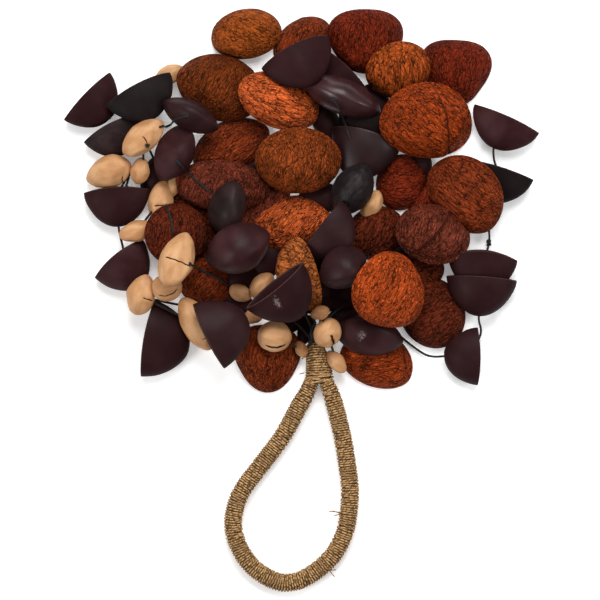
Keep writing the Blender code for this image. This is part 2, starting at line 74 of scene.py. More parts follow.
# Finish of the pieces, in mm and degrees where nothing else is said
BURIED_RISE, BURIED_WEAR, BURIED_GLOSS = 0.2, 0.3, 0.1
BURIED_GRAIN, BURIED_SPACING, BURIED_DEPTH = 20, 2.8, 0.4
BURIED_DARK_STEPS, BURIED_BROWN_STEPS = (48, 14), (72, 20)  # round a shell and up it
BROWN_STRETCH, BURIED_STRETCH = 4.0, 3.0  # how much longer than wide the fibres are
OPEN_LEAN = 60  # a dark shell that leans more than this shows its cord hole
RIM_BEVEL = 0.4
STEP_SLOPE, STEP_LINE = 1.6, 0.7  # how wide a step of a brown shell and its line of painted shade in the crease are
CORE_GAP = 0.3  # between the core and the twine on it
LOOP_PADDING, NECK_PADDING = 0.72, 0.6  # how thick the layer under the twine is, painted as the shade in the gaps between the turns
FLAT_LIMIT = 3  # a nut less than this longer than wide is plump and has no facets
FACET_REACH, FACET_CUT = 0.885, 0.85  # where a facet of a nut starts and how flat it is
NUT_TIP = 0.86  # where the darker tips of a nut start, as a share of its half length
END_DIP = 1.4  # how far the ends of a run dip into the holes that they come from
SENSOR = 36.0

# The same in metres
CORD_TWIST, TWINE_TWIST, FIBRE_TWIST = 1.1 * MM, 3.1 * MM, 1.7 * MM  # length of a full twist
FIBRE_RADIUS = 0.3 * MM
FLOOR_DROP = 0.2 * MM
FOCUS_HEIGHT = 12.0 * MM  # the height at which the view's width is measured

# In the tables, places and sizes are in mm and angles in degrees. A shell's row has its number.
# Brown shells: plan place, heading, size, lean, outline, then colour, and the wrinkles' direction,
# spacing and depth
BROWN_SHELLS = {
    1: (-29.5, 146, 7, (40, 28.5, 12), 0, {"flat": 0.06}, "tan", -25, 1.7, 0.30),
    2: (1.5, 142, 35, (36, 26, 12), 0, {}, "rust", 70, 1.9, 0.35),
    3: (36, 144, 0, (42, 36, 13), 0, {"point": 0.07, "toward": -90}, "red", 80, 1.9, 0.3),
    4: (54, 127, 20, (37, 33, 13), 0, {}, "golden", 100, 3.6, 0.75),
    5: (86, 127, -8, (39, 37, 13), 0, {"point": 0.09, "toward": -85}, "red", 80, 1.9, 0.35),
    6: (69, 96, -10, (56, 43, 16), 0, {"flat": 0.15}, "amber", -35, 2.4, 0.55),
    7: (-44, 117, -15, (51, 37, 15), 0, {"pinch": 0.2}, "dull", 60, 1.7, 0.30),
    8: (-12, 109.5, -20, (51, 30, 15), 0, {}, "orange", -22, 2.5, 0.55),
    9: (-38, 85, 25, (46, 29, 13), 0, {"pinch": 0.2}, "rust", 40, 1.6, 0.28),
    10: (-1, 77, 0, (48, 39, 15), 0, {}, "walnut", 80, 1.9, 0.45),
    11: (-43, 62, -5, (53, 30, 14), 0, {"flat": 0.12}, "wine", 75, 1.9, 0.4),
    12: (-5, 42, 15, (45, 31, 14), 0, {}, "orange", 45, 2.5, 0.65),
    13: (-68, 36, -10, (39, 35, 13), 0, {}, "umber", 80, 2.2, 0.6),
    14: (-52, 10, -25, (32, 28, 11), 0, {}, "rust", 50, 1.9, 0.4),
    15: (4, 15, -75, (42, 30, 18), 60, {}, "honey", 0, 4.0, 0.25),
    16: (90, 57, -45, (48, 40, 14), 0, {"flat": 0.15}, "rust", -40, 2.3, 0.3),
    17: (56, 65, 70, (32, 28, 12), 0, {}, "red", 10, 1.9, 0.35),
    18: (73, 36, -10, (43, 34, 14), 0, {}, "wine", 70, 2.0, 0.45),
    19: (42, 37, 20, (34, 30, 12), 0, {}, "umber", 60, 2.4, 0.6),
    20: (48, 5, -40, (45, 41, 15), 0, {"point": 0.05, "toward": 120}, "coral", 60, 2.2, 0.5),
    21: (73, -7, -60, (41, 36, 13), 0, {}, "umber", 30, 2.0, 0.5),
    22: (42, -35, -20, (42, 31, 12), 0, {"flat": 0.15}, "amber", 10, 2.2, 0.5),
    23: (-18, -31, 15, (37, 38, 12), 0, {"point": 0.07, "toward": -105}, "rust", 80, 2.0, 0.4),
}

# Steps in a brown shell, where one lobe lies lower: a point of the edge in plan, the direction in
# degrees toward the low side, how the edge curves and the drop in mm
STEPS = {
    6: (81.7, 92.0, 2, 0.012, 2.8),
    18: (72.0, 33.6, -45, 0.01, 2.0),
    22: (58.0, -33.0, 10, -0.01, 1.0),
}
# Dark marks: plan place, half length, half width and direction in degrees, and how dark
# Painted shade among the brown marks: the crease and notch of shell 6's step, and the shaded lower
# end of shell 15
BROWN_MARKS = {
    4: ((52.3, 121.5, 7.5, 0.5, 88, 0.9), (56.5, 114.0, 4.0, 0.45, 60, 0.8)),
    6: ((81.1, 94.6, 16.0, 0.8, 96, 0.9), (82.2, 82.0, 6.0, 1.5, 100, 0.8)),
    10: ((-16.5, 74.2, 5.5, 4.2, 20, 0.7), (-0.6, 78.0, 12.0, 0.45, 85, 0.5)),
    11: ((-48.7, 71.6, 3.0, 1.7, 10, 0.75),),
    15: ((8.0, 0.0, 8.0, 6.0, 90, 0.7),),
    16: ((98.2, 61.7, 5.0, 0.6, 55, 0.7), (94.5, 57.0, 4.0, 0.5, 60, 0.6)),
    18: ((76.8, 44.6, 6.5, 3.6, -35, 0.6), (70.0, 42.5, 5.0, 0.6, 35, 0.6)),
    20: ((47.5, 8.5, 5.0, 0.4, 50, 0.7), (52.5, 13.0, 4.0, 0.4, 40, 0.6)),
    22: ((49.0, -43.0, 4.5, 0.5, -40, 0.8),),
}
# Painted shade of holes: near-black spots where cord holes and pin holes show, with no hole made in
# the shell
DARK_MARKS = {
    4: ((-60.6, 100.6, 0.8, 0.8, 0, 1.0),),
    16: ((18.2, 109.5, 1.1, 1.0, 0, 1.0),),
    18: ((30.4, 66.2, 0.6, 0.5, 0, 1.0), (26.6, 61.0, 0.5, 0.4, 0, 0.9)),
    22: ((30.0, -8.8, 0.8, 0.6, 0, 1.0),),
}
# Pale scuffs: plan place, half length, half width and direction in degrees
SCUFFS = {
    13: (-12.4, -1.4, 7.5, 3.6, -55),
    16: (18.2, 109.5, 2.2, 1.9, 0),
    20: (33.0, 13.5, 6.0, 1.6, 40),
    22: (34.0, -19.6, 5.5, 4.0, 60),
}

# Dark shells: plan place, heading, size, lean, then colour, how worn the surface is
# and how glossy
DARK_SHELLS = {
    1: (-117.6, 112.4, 46, (36.4, 16.4, 18), 84, "aubergine", 0.3, 0.1),
    2: (-89, 116, 28, (40, 16, 19), 80, "ink", 0.3, 0.1),
    3: (-102, 95, 25, (38, 16, 16), 80, "smoke", 0.8, 0.2),
    4: (-60, 101, -27, (34, 17, 13), 15, "aubergine", 0.3, 0.3),
    5: (-69.6, 81, 65, (34, 22, 16), 5, "plum", 0.2, 0.2),
    7: (-101, 60, 3, (36.4, 16, 20), 84, "aubergine", 0.2, 0.08),
    8: (-100, 23, 39, (34, 16, 20), 80, "plum", 0.3, 0.15),
    9: (-84, -21, 80, (43, 18, 24), 82, "aubergine", 0.2, 0.15),
    10: (-50, -20, 116, (39, 18, 24), 84, "aubergine", 0.3, 0.2),
    11: (-40, 51, 75, (33, 21, 15), 0, "smoke", 0.3, 0.3),
    12: (-34, 29, 25, (38, 29, 16), 0, "plum", 0.1, 0.3),
    13: (-14, 8, 39, (40, 17, 24), 104, "aubergine", 0.4, 0.12),
    14: (-3, 136, 27, (41, 17, 22), 78, "aubergine", 0.2, 0.06),
    15: (27, 126, -45, (30, 16, 17), 80, "aubergine", 0.2, 0.1),
    16: (23, 112, -22, (46, 20, 15), 10, "plum", 0.1, 0.9),
    18: (29, 61, 60, (34, 22, 14), 0, "slate", 0.9, 0.45),
    19: (12, 40, 53, (36, 16, 20), 75, "aubergine", 0.3, 0.2),
    20: (23, 18, 30, (29, 24, 15), 0, "aubergine", 0.2, 0.3),
    22: (38, -20, -12, (39, 23, 15), 0, "plum", 0.2, 0.25),
    23: (114, 100, -24, (39, 16, 18), 84, "plum", 0.2, 0.12),
    24: (110, 72, -17, (39, 16, 19), 84, "ink", 0.2, 0.06),
    26: (100, 12, -4, (39, 19, 21), 84, "aubergine", 0.2, 0.15),
    27: (98, -31, -90, (32, 16, 19), 84, "aubergine", 0.3, 0.15),
    28: (36.7, 89.5, -17, (39, 19, 24), 76, "night", 0.1, 0.5),
}
# How far in mm the middle of a dark shell's rim bulges out
BULGES = {
    1: 1.5, 2: 1.0, 3: 3.0, 7: 2.5, 8: 2.5, 9: 2.0, 10: 1.5, 14: 1.5, 15: 1.0, 17: 2.0, 23: 1.5,
    24: 1.5, 25: 4.5, 26: 1.5, 27: 1.5, 28: 3.0,
}
# Shells that sit in the mouth of another: carrier, size, colour, wear and gloss
NESTED = {
    25: (26, (38, 15, 20), "aubergine", 0.2, 0.1),
    17: (28, (38, 15, 22), "black", 0.1, 0.12),
}

# Nuts of each string: plan place, heading, size, how much thicker the far end is, then the crack
# as its direction across in degrees, distance from the middle, middle along it, half reach, bend
# and width
NUT_STRINGS = {
    1: (
        (-105.4, 70.6, 20, (27, 18), 0.10, (0, 8.0, -5.0, 2.6, 0.0, 1.2)),
        (-88, 71, 80, (15, 11), 0.0, None),
        (-86, 89, 40, (28, 16), -0.05, (35, 0.4, -2.0, 2.6, 0.05, 1.0)),
    ),
    2: (
        (-77, 55, 80, (23, 14), -0.18, (84, -3.2, -1.5, 4.6, 0.02, 1.3)),
        (-89.5, 38, 15, (21, 12), -0.10, None),
    ),
    3: (
        (-67, 22, 72, (33, 19), -0.14, (69, -0.4, -1.0, 7.4, 0.012, 1.2)),
        (-73, 7, 0, (17, 15), 0.0, (-70, 4.6, 0.0, 6.0, 0.05, 1.0)),
        (-87, 3, 75, (24, 16), -0.16, (70, -1.2, -4.5, 3.0, 0.0, 1.2)),
        (-57, -13, -60, (33, 17), 0.08, (-60, 9.5, 2.0, 3.5, 0.0, 1.2)),
    ),
    4: (
        (-33, 4, -25, (14, 10), 0.05, None),
        (-21, 8, 45, (18, 12), 0.0, None),
    ),
    5: (
        (-14, -20, 0, (19, 17), 0.0, (-88, 6.4, 0.5, 6.0, 0.05, 1.6)),
        (0.7, -27, -60, (10, 7), 0.0, None),
    ),
    6: (
        (11, -7, 20, (11, 8), 0.0, None),
        (15, -18, 60, (17, 15), 0.0, (12, 2.4, -6.0, 4.4, 0.03, 2.6)),
        (20, -34, -50, (15, 9), 0.05, None),
    ),
}
# Nuts with painted shade on one side, by string and place on it: the direction toward the shaded
# side, and where the shade starts and is full
SHADED_NUTS = {(5, 1): (80, -4.5, 0.5), (6, 0): (150, -7.0, 1.0), (6, 2): (130, 0.5, 5.5)}
# Nuts deep in the heap: plan place and height, heading and size
LOOSE_NUTS = (
    (-72.0, 124.0, 5.2, 25, (18, 10.5)),
    (39.4, 52.4, 5.4, 62, (18, 12)),
    (-70.5, 62.5, 5.0, 70, (13, 9)),
    (-25.5, -8.5, 7.0, 30, (13, 9)),
)
# Dark and brown shells deep in the heap: plan place, heading, size and colour. The dark ones are
# painted shade that fills the gaps between the shells, where the heap is in deep shade
BURIED_SHELLS = (
    (-80.5, 67.5, 75, (25, 15, 8), "aubergine"),
    (25.0, 3.0, 10, (24, 17, 9), "aubergine"),
    (-33.0, 12.0, 20, (24, 15, 7), "aubergine"),
    (66.0, 17.0, 0, (28, 22, 9), "umber"),
    (11.0, 0.5, 10, (26, 17, 6.5), "aubergine"),
    (-3.0, -9.0, 60, (20, 13, 4.0), "aubergine"),
    (3.2, -16.5, 75, (17, 9, 2.8), "aubergine"),
    (24.0, -9.5, 15, (19, 12, 3.4), "aubergine"),
    (14.5, 98.0, -65, (27, 15, 7.0), "aubergine"),
    (43.0, 109.0, -55, (24, 13, 5.0), "aubergine"),
    (-26.5, 73.5, 20, (18, 12, 4.0), "aubergine"),
    (66.5, 74.5, 90, (18, 13, 5.0), "aubergine"),
    (-25.5, 94.0, 0, (16, 9, 3.5), "aubergine"),
    (-60.0, 55.0, -30, (26, 18, 6), "umber"),
    (-49.0, 36.0, 90, (36, 18, 6), "umber"),
    (-22.0, 52.0, 35, (38, 22, 5.5), "wine"),
    (-17.0, 23.0, 60, (26, 17, 6), "aubergine"),
    (-36.0, -2.0, -20, (24, 15, 4), "aubergine"),
    (12.0, 56.5, 0, (26, 17, 6), "aubergine"),
    (70.0, 55.0, 60, (25, 19, 6), "red"),
    (9.5, 17.6, 90, (24, 13, 5), "aubergine"),
    (55.5, 27.0, 0, (17, 13, 5), "aubergine"),
)

# Short runs of cord between shells: x, y and height in mm, where None lies on what is below it
CORD_RUNS = (
    ((-107.8, 105.6, 9.0), (-106.2, 102.6, 9.4), (-104.5, 99.6, 9.0)),
    ((-77.0, 94.6, None), (-72.6, 96.3, None), (-68.2, 98.6, None), (-60.5, 100.7, None)),
    ((-83.6, 84.7, None), (-81.4, 79.2, None), (-78.9, 72.6, 11.0), (-77.4, 66.0, 9.0)),
    ((-66.6, 75.4, None), (-60.5, 68.8, None), (-53.9, 63.3, None), (-48.4, 58.3, None)),
    ((-73.7, 51.4, None), (-71.2, 46.2, None), (-70.0, 40.7, None), (-69.4, 36.0, None)),
    ((-59.6, 19.4, None), (-53.9, 16.0, None), (-46.8, 13.0, None), (-40.0, 8.6, None)),
    ((-93.8, 71.0, 8.0), (-94.6, 66.6, 8.0), (-95.8, 62.6, 8.6)),
    ((-82.5, 0.8, 9.0), (-74.3, -1.1, 8.6), (-66.0, -2.8, 8.4), (-60.5, -3.9, 8.6)),
    ((-62.4, -22.8, 9.0), (-57.2, -20.6, 9.6), (-51.7, -18.2, 10.0)),
    ((18.2, 109.5, None), (22.2, 103.4, None), (25.0, 96.3, None), (27.4, 88.2, None)),
    ((8.0, -23.0, 7.6), (5.6, -14.0, 9.4), (1.0, -5.0, 10.0), (-5.0, 2.0, 9.4)),
    ((9.4, -23.0, 8.4), (8.2, -13.0, 10.4), (7.4, -4.0, 10.8), (8.8, 4.0, 9.4)),
    ((10.6, -23.0, 7.6), (14.0, -14.0, 6.6), (19.0, -7.0, 5.4), (27.0, -2.0, 4.0)),
    ((7.0, -23.0, 6.0), (0.0, -15.0, 6.4), (-9.0, -8.0, 6.2), (-18.0, -3.0, 6.0)),
    ((9.2, -23.0, 7.0), (10.6, -16.0, 9.2), (11.4, -9.0, 11.0), (13.4, -3.0, 11.4)),
)
# Knots in the cords: x, y, height and width
KNOTS = (
    (-83.4, 84.4, None, 2.6), (-93.9, 71.2, 8.2, 2.2), (-95.6, 62.4, 9.0, 2.4),
    (104.0, 31.4, 6.6, 4.2), (18.0, 109.8, None, 2.2), (-66.8, 75.8, None, 2.0),
    (-49.4, -17.6, 10.2, 2.4), (8.2, -13.2, 10.6, 3.0), (-59.8, 19.6, None, 2.0),
    (-73.4, 51.6, None, 1.8),
)

# Skin colour of each shade, in screen values
BROWN_COLOURS = {
    "dull": (0.39, 0.165, 0.046),
    "tan": (0.54, 0.252, 0.073),
    "walnut": (0.49, 0.217, 0.073),
    "golden": (0.53, 0.226, 0.066),
    "honey": (0.56, 0.296, 0.13),
    "amber": (0.51, 0.191, 0.053),
    "orange": (0.71, 0.30, 0.13),
    "coral": (0.60, 0.235, 0.073),
    "rust": (0.43, 0.165, 0.059),
    "wine": (0.39, 0.165, 0.105),
    "umber": (0.34, 0.122, 0.053),
    "red": (0.39, 0.113, 0.036),
}
DARK_COLOURS = {
    "aubergine": ((0.150, 0.068, 0.075), (0.180, 0.092, 0.098)),
    "plum": ((0.175, 0.08, 0.087), (0.235, 0.13, 0.138)),
    "smoke": ((0.115, 0.073, 0.073), (0.185, 0.13, 0.13)),
    "slate": ((0.125, 0.098, 0.103), (0.175, 0.145, 0.152)),
    "ink": ((0.085, 0.06, 0.063), (0.12, 0.092, 0.096)),
    "night": ((0.118, 0.048, 0.056), (0.145, 0.066, 0.075)),
    "black": ((0.066, 0.03, 0.034), (0.095, 0.048, 0.053)),
}
NUT_COLOURS = {
    "base": (0.70, 0.50, 0.325),
    "light": (0.79, 0.605, 0.43),
    "streak": (0.66, 0.44, 0.26),
    "tip": (0.60, 0.38, 0.22),
    "crack": (0.17, 0.075, 0.03),
    # the colour of the painted shade on one side of some nuts
    "dirt": (0.40, 0.245, 0.11),
}
DARK_FLECK, DARK_SCUFF = (0.42, 0.35, 0.32), (0.55, 0.49, 0.48)
# DARK_GROOVE is painted shade in the valleys of a worn dark shell's wrinkles
DARK_GROOVE, DARK_RIM = (0.05, 0.035, 0.035), (0.42, 0.31, 0.28)

# Routes of the free cords, x, y and height in mm
CORD_ROUTES = {
    "cord_right": (
        (12.2, -13.4, 4.7), (13.6, -10.2, 4.6), (18.0, -8.4, 3.8), (26.0, -8.4, 2.4),
        (36.0, -9.0, 1.4), (45.0, -11.0, 1.2), (52.0, -17.0, 1.2), (59.0, -23.0, 1.2),
        (68.0, -29.5, 2.6), (73.5, -31.2, 5.4), (79.0, -31.0, 7.3), (86.0, -30.4, 7.6),
        (92.0, -28.2, 7.9), (97.0, -24.0, 8.0), (99.4, -19.3, 8.0), (99.6, -15.6, 8.0),
        (98.7, -12.2, 8.3), (98.5, -8.9, 8.6), (99.0, -3.0, 8.9), (99.4, 3.0, 9.2),
        (100.0, 12.0, 9.4), (101.0, 22.0, 9.2), (103.0, 27.0, 7.4), (104.3, 32.0, 6.0),
        (104.3, 38.0, 5.6), (103.9, 44.0, 6.0), (103.6, 50.0, 6.7), (104.4, 53.9, 7.0),
        (107.2, 63.0, 7.6), (108.6, 71.0, 7.8), (107.0, 77.0, 7.2), (106.7, 83.6, 7.0),
        (108.8, 89.5, 7.4),
    ),
    "cord_left": (
        (-95.3, 67.6, 6.4), (-97.6, 63.6, 7.4), (-100.2, 58.0, 8.0), (-100.3, 49.0, 7.6),
        (-99.9, 40.0, 7.2), (-99.0, 35.0, 7.4), (-97.8, 30.0, 7.8), (-96.4, 23.5, 8.0),
        (-93.5, 16.5, 8.2), (-90.2, 11.6, 8.3),
    ),
}

# Centre line of the rope core in plan, in mm, up one leg of the neck, round the loop and back
CORE_ROUTE = (
    (7.6, -14.0), (6.4, -24.0), (7.0, -36.0), (6.6, -44.0), (3.6, -51.5), (-1.0, -59.4),
    (-9.4, -74.8), (-20.9, -90.2), (-31.9, -105.0), (-36.3, -117.0), (-36.5, -127.6),
    (-32.5, -138.5), (-25.9, -147.4), (-17.0, -153.5), (-8.8, -156.0), (0.5, -154.4),
    (10.5, -148.2), (19.3, -139.2), (24.8, -127.6), (27.0, -116.0), (27.5, -102.9),
    (25.9, -90.2), (23.7, -76.5), (20.6, -63.3), (17.2, -51.5), (14.2, -44.0),
    (13.8, -36.0), (10.7, -24.0), (11.9, -14.0),
)
CORE_STATIONS = (-56.0, -45.0, -24.0)  # where the core's radius is given, along Y
CORE_RADII = (3.6, 2.8, 1.95)
LOOP_HEIGHT, NECK_HEIGHT = 5.0, 4.7
NECK_TOP, NECK_END, LOOP_START = -24.0, -45.0, -46.0
NECK_EASE = 10.0
NECK_ROUNDING, TOP_REACH = 1.5, 3.0  # how far the neck narrows at its top, and over what length
NECK_ARCH, ARCH_REACH = 1.9, 16.0  # how far the top turns arch upward, and over what length
CROSSING = 1.9  # how far the turns at the crotch slant, one after another to either side
LOOP_STEPS, NECK_STEPS = 18, 26  # points in each turn of twine

# Fibre ends that stand out of the twine: where, and how far they reach in plan
STRAY_FIBRES = (
    (22.0, -117.0, 6.0, (-5.5, 0.4)), (22.0, -117.6, 5.6, (-4.4, 0.8)),
    (22.0, -118.2, 5.2, (-3.4, -0.8)), (16.0, -149.0, 5.0, (3.6, -2.6)),
    (15.6, -149.4, 5.6, (4.4, -0.6)), (2.4, -31.6, 5.4, (-1.6, -0.5)),
    (1.8, -40.4, 5.0, (-1.8, -1.2)),
)


# Helpers


def colour(rgb):
    """A screen colour as the linear one that shaders take."""
    return tuple(c / 12.92 if c <= 0.04045 else ((c + 0.055) / 1.055) ** 2.4 for c in rgb)


def add_piece(name, mesh, material, node=None):
    """A smooth named piece that rides on the frame, in place of a node of it if one is given."""
    mesh.shade_smooth()
    mesh.materials.clear()
    mesh.materials.append(material)
    piece = bpy.data.objects.new(name, mesh)
    bpy.context.scene.collection.objects.link(piece)
    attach(piece, "root")
    if node:
        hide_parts(node)
    return piece


def finish_piece(name, bm, material, node=None):
    """Turn a bmesh in mm, already in its place, into a piece."""
    bmesh.ops.scale(bm, vec=(MM, MM, MM), verts=bm.verts[:])
    for vert in bm.verts:
        vert.co.z = max(vert.co.z, 0.0)
    mesh = bpy.data.meshes.new(name)
    bm.to_mesh(mesh)
    bm.free()
    return add_piece(name, mesh, material, node)


def distances(line):
    """How far along a line each of its points is."""
    return np.concatenate([[0], np.cumsum(np.linalg.norm(np.diff(line, axis=0), axis=1))])


def smooth_line(points, step):
    """Points at even steps along a smooth curve through given points."""
    route = [np.array(p, float) for p in points]
    ends = [2 * route[0] - route[1]] + route + [2 * route[-1] - route[-2]]
    fine = []
    for a, b, c, d in zip(ends, ends[1:], ends[2:], ends[3:]):
        for t in np.linspace(0, 1, 24, endpoint=False):
            fine.append(
                0.5 * (2 * b + (c - a) * t + (2 * a - 5 * b + 4 * c - d) * t**2
                       + (3 * b - a - 3 * c + d) * t**3)
            )
    fine.append(route[-1])
    fine = np.array(fine)
    along = distances(fine)
    places = np.linspace(0, along[-1], max(3, round(along[-1] / step) + 1))
    return np.column_stack([np.interp(places, along, fine[:, k]) for k in range(fine.shape[1])])


# Poses read from the frame


def rim_point(angle, length, width, point=0.0, toward=0.0, flat=0.0, pinch=0.0):
    """A point of a shell's outline at an angle, round a long axis along X."""
    reach = 1 + point * math.cos(3 * (angle - math.radians(toward)))
    x = length / 2 * math.cos(angle) * reach
    side = math.sin(angle)
    y = width / 2 * side * abs(side) ** pinch * reach
    y *= 1 + flat if side > 0 else 1 - flat
    return x, y


def frame_corners(size, wall, fullness, form):
    """The corners of the frame's plain shell of this size, in its own frame."""
    length, width, depth = size
    angles = [2 * math.pi * i / FRAME_SIDES for i in range(FRAME_SIDES)]
    corners = []
    walls = (((length, width, depth), FRAME_OUTER),
             ((length - 2 * wall, width - 2 * wall, depth - wall), FRAME_INNER))
    for (long, wide, high), shares in walls:
        level = high * (1 - (HOLE / wide) ** 2) ** fullness
        corners += [(HOLE / 2 * math.cos(a), HOLE / 2 * math.sin(a), level) for a in angles]
        for share in shares:
            level = high * (1 - share**2) ** fullness
            for angle in angles:
                x, y = rim_point(angle, long, wide, **form)
                corners.append((share * x, share * y, level))
    return np.array(corners)


def frame_nut_corners(length, width):
    """The corners of the frame's plain nut, about its middle."""
    corners = [(-length / 2, 0, 0), (length / 2, 0, 0)]
    for place in FRAME_NUT_RINGS:
        radius = width / 2 * (1 - place**2) ** NUT_FULLNESS
        for i in range(FRAME_NUT_SIDES):
            angle = 2 * math.pi * i / FRAME_NUT_SIDES
            corners.append((place * length / 2, radius * math.cos(angle), radius * math.sin(angle)))
    return np.array(corners)


def tilted(x_turn, y_turn):
    """The turn that tips a piece by two angles, in degrees, about the plan's axes."""
    axis = Vector((math.radians(x_turn), math.radians(y_turn), 0.0))
    if axis.length < 1e-9:
        return Matrix.Identity(3)
    return Matrix.Rotation(axis.length, 3, axis.normalized())


# Every whole-degree tilt that a piece of the frame may lie at
SPAN = range(-TILT_LIMIT, TILT_LIMIT + 1)
TILTS = [tilted(i, j) for i in SPAN for j in SPAN if math.hypot(i, j) <= TILT_LIMIT]


def upright(heading, lean):
    """The turn of a piece before it is tilted."""
    return (Matrix.Rotation(math.radians(heading), 3, "Z")
            @ Matrix.Rotation(math.radians(lean), 3, "X"))


def shell_pose(node, x, y, heading, lean, corners):
    """Where a shell of the frame lies: the tilt whose box is the node's own."""
    low, high = (np.array(c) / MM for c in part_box(node))
    turns = np.array(TILTS) @ np.array(upright(heading, lean))
    spread = np.einsum("tij,nj->tni", turns, corners)
    lowest, highest = spread.min(axis=1), spread.max(axis=1)
    rise = low[2] - lowest[:, 2]
    place = np.column_stack([np.full(len(turns), x), np.full(len(turns), y), rise])
    miss = np.abs(lowest + place - low).sum(axis=1) + np.abs(highest + place - high).sum(axis=1)
    best = int(miss.argmin())
    if miss[best] > POSE_LIMIT:
        raise ValueError(f"{node} lies {miss[best]:.2f} mm from any pose")
    return Vector(place[best]), Matrix(turns[best].tolist())


def nut_pose(points, tree, x, y, heading, length, width):
    """Where a nut of a string lies, from the string's own vertices in mm."""
    near = points[np.hypot(points[:, 0] - x, points[:, 1] - y) < length / 2 + 0.4]
    corners = frame_nut_corners(length, width)
    best, place, least = None, None, 1e9
    base = np.array(upright(heading, 0))
    for tilt in TILTS[::3]:
        turn = np.array(tilt) @ base
        spread = corners @ turn.T
        tops = near[:, 2].max() - spread[:, 2].max()
        bottoms = near[:, 2].min() - spread[:, 2].min()
        for rise in (tops, bottoms):
            miss = sum(min(tree.find(p)[2], 2.0) for p in (spread + (x, y, rise))[::3])
            if miss < least:
                best, place, least = turn, Vector((x, y, rise)), miss
    return place, Matrix(best.tolist())


# Materials


class Nodes:
    """Short calls for a material's node tree, each of which gives the output that is read."""

    def __init__(self, name):
        self.material = bpy.data.materials.new(name)
        self.material.use_nodes = True
        self.tree = self.material.node_tree
        self.shader = self.tree.nodes["Principled BSDF"]

    def feed(self, node, socket, value):
        """Set an input, or link it when the value is another node's output."""
        if isinstance(value, bpy.types.NodeSocket):
            self.tree.links.new(value, node.inputs[socket])
        else:
            node.inputs[socket].default_value = value

    def add(self, kind, output, inputs, **settings):
        """A node with its settings and inputs."""
        node = self.tree.nodes.new("ShaderNode" + kind)
        for key, value in settings.items():
            setattr(node, key, value)
        for socket, value in inputs.items():
            self.feed(node, socket, value)
        return node.outputs[output]

    def attribute(self, name, output="Fac"):
        return self.add("Attribute", output, {}, attribute_name=name)

    def twist(self):
        """The angle of a tube's twist."""
        return self.add("SeparateXYZ", "X", {0: self.attribute("twist", "Vector")})

    def place(self):
        return self.add("TexCoord", "Object", {})

    def noise(self, vector, scale, detail=2.0, roughness=0.5, distortion=0.0, output="Fac"):
        return self.add("TexNoise", output, {
            "Vector": vector, "Scale": scale, "Detail": detail, "Roughness": roughness,
            "Distortion": distortion,
        })

    def math(self, operation, *values):
        """The values taken together one after another."""
        result = values[0]
        for value in values[1:] or (0.0,):
            result = self.add("Math", 0, {0: result, 1: value}, operation=operation)
        return result

    def plus(self, *values):
        return self.math("ADD", *values)

    def times(self, a, b):
        return self.math("MULTIPLY", a, b)

    def most(self, *values):
        return self.math("MAXIMUM", *values)

    def vector(self, operation, *values, output="Vector"):
        return self.add("VectorMath", output, dict(enumerate(values)), operation=operation)

    def ramp(self, value, start, end, low=0.0, high=1.0):
        """A smooth step of a value between two places."""
        return self.add("MapRange", "Result", {
            "Value": value, "From Min": start, "From Max": end, "To Min": low, "To Max": high,
        }, interpolation_type="SMOOTHSTEP")

    def swayed(self, vector, scale, amount):
        """A place that a noise moves about, so that straight patterns wind."""
        sway = self.vector("SUBTRACT", self.noise(vector, scale, output="Color"), (0.5,) * 3)
        return self.vector("ADD", vector, self.vector("MULTIPLY", sway, (amount,) * 3))

    def cells(self, vector, scale):
        """The distance to the edge of a network of cells."""
        return self.add("TexVoronoi", "Distance", {"Vector": vector, "Scale": scale},
                        feature="DISTANCE_TO_EDGE")

    def patch(self, x, y, along, across, angle, soft=0.4):
        """An ellipse in plan with a soft uneven edge: 1 inside and 0 outside."""
        place = self.place()
        lying = self.add("Mapping", "Vector", {
            "Vector": place, "Location": (x * MM, y * MM, 0.0),
            "Rotation": (0.0, 0.0, math.radians(angle)), "Scale": (along * MM, across * MM, 10.0),
        }, vector_type="TEXTURE")
        reach = self.vector("LENGTH", lying, output="Value")
        uneven = self.times(self.noise(place, 700.0), soft)
        return self.ramp(self.plus(reach, uneven), 0.6, 1.1, 1.0, 0.0)

    def patches(self, marks):
        """Each mark's ellipse, as strong as the mark is dark."""
        return [self.times(self.patch(*ellipse), strength) for *ellipse, strength in marks]

    def mix(self, share, a, b):
        a, b = (v if isinstance(v, bpy.types.NodeSocket) else (*v, 1.0) for v in (a, b))
        return self.add("Mix", 2, {0: share, 6: a, 7: b}, data_type="RGBA")

    def bump(self, height, depth, strength):
        return self.add("Bump", "Normal", {
            "Height": height, "Distance": depth * MM, "Strength": strength,
        })

    def surface(self, skin, roughness, specular, normal):
        """The finished material."""
        for socket, value in (("Base Color", skin), ("Roughness", roughness),
                              ("Specular IOR Level", specular), ("Normal", normal)):
            self.feed(self.shader, socket, value)
        return self.material


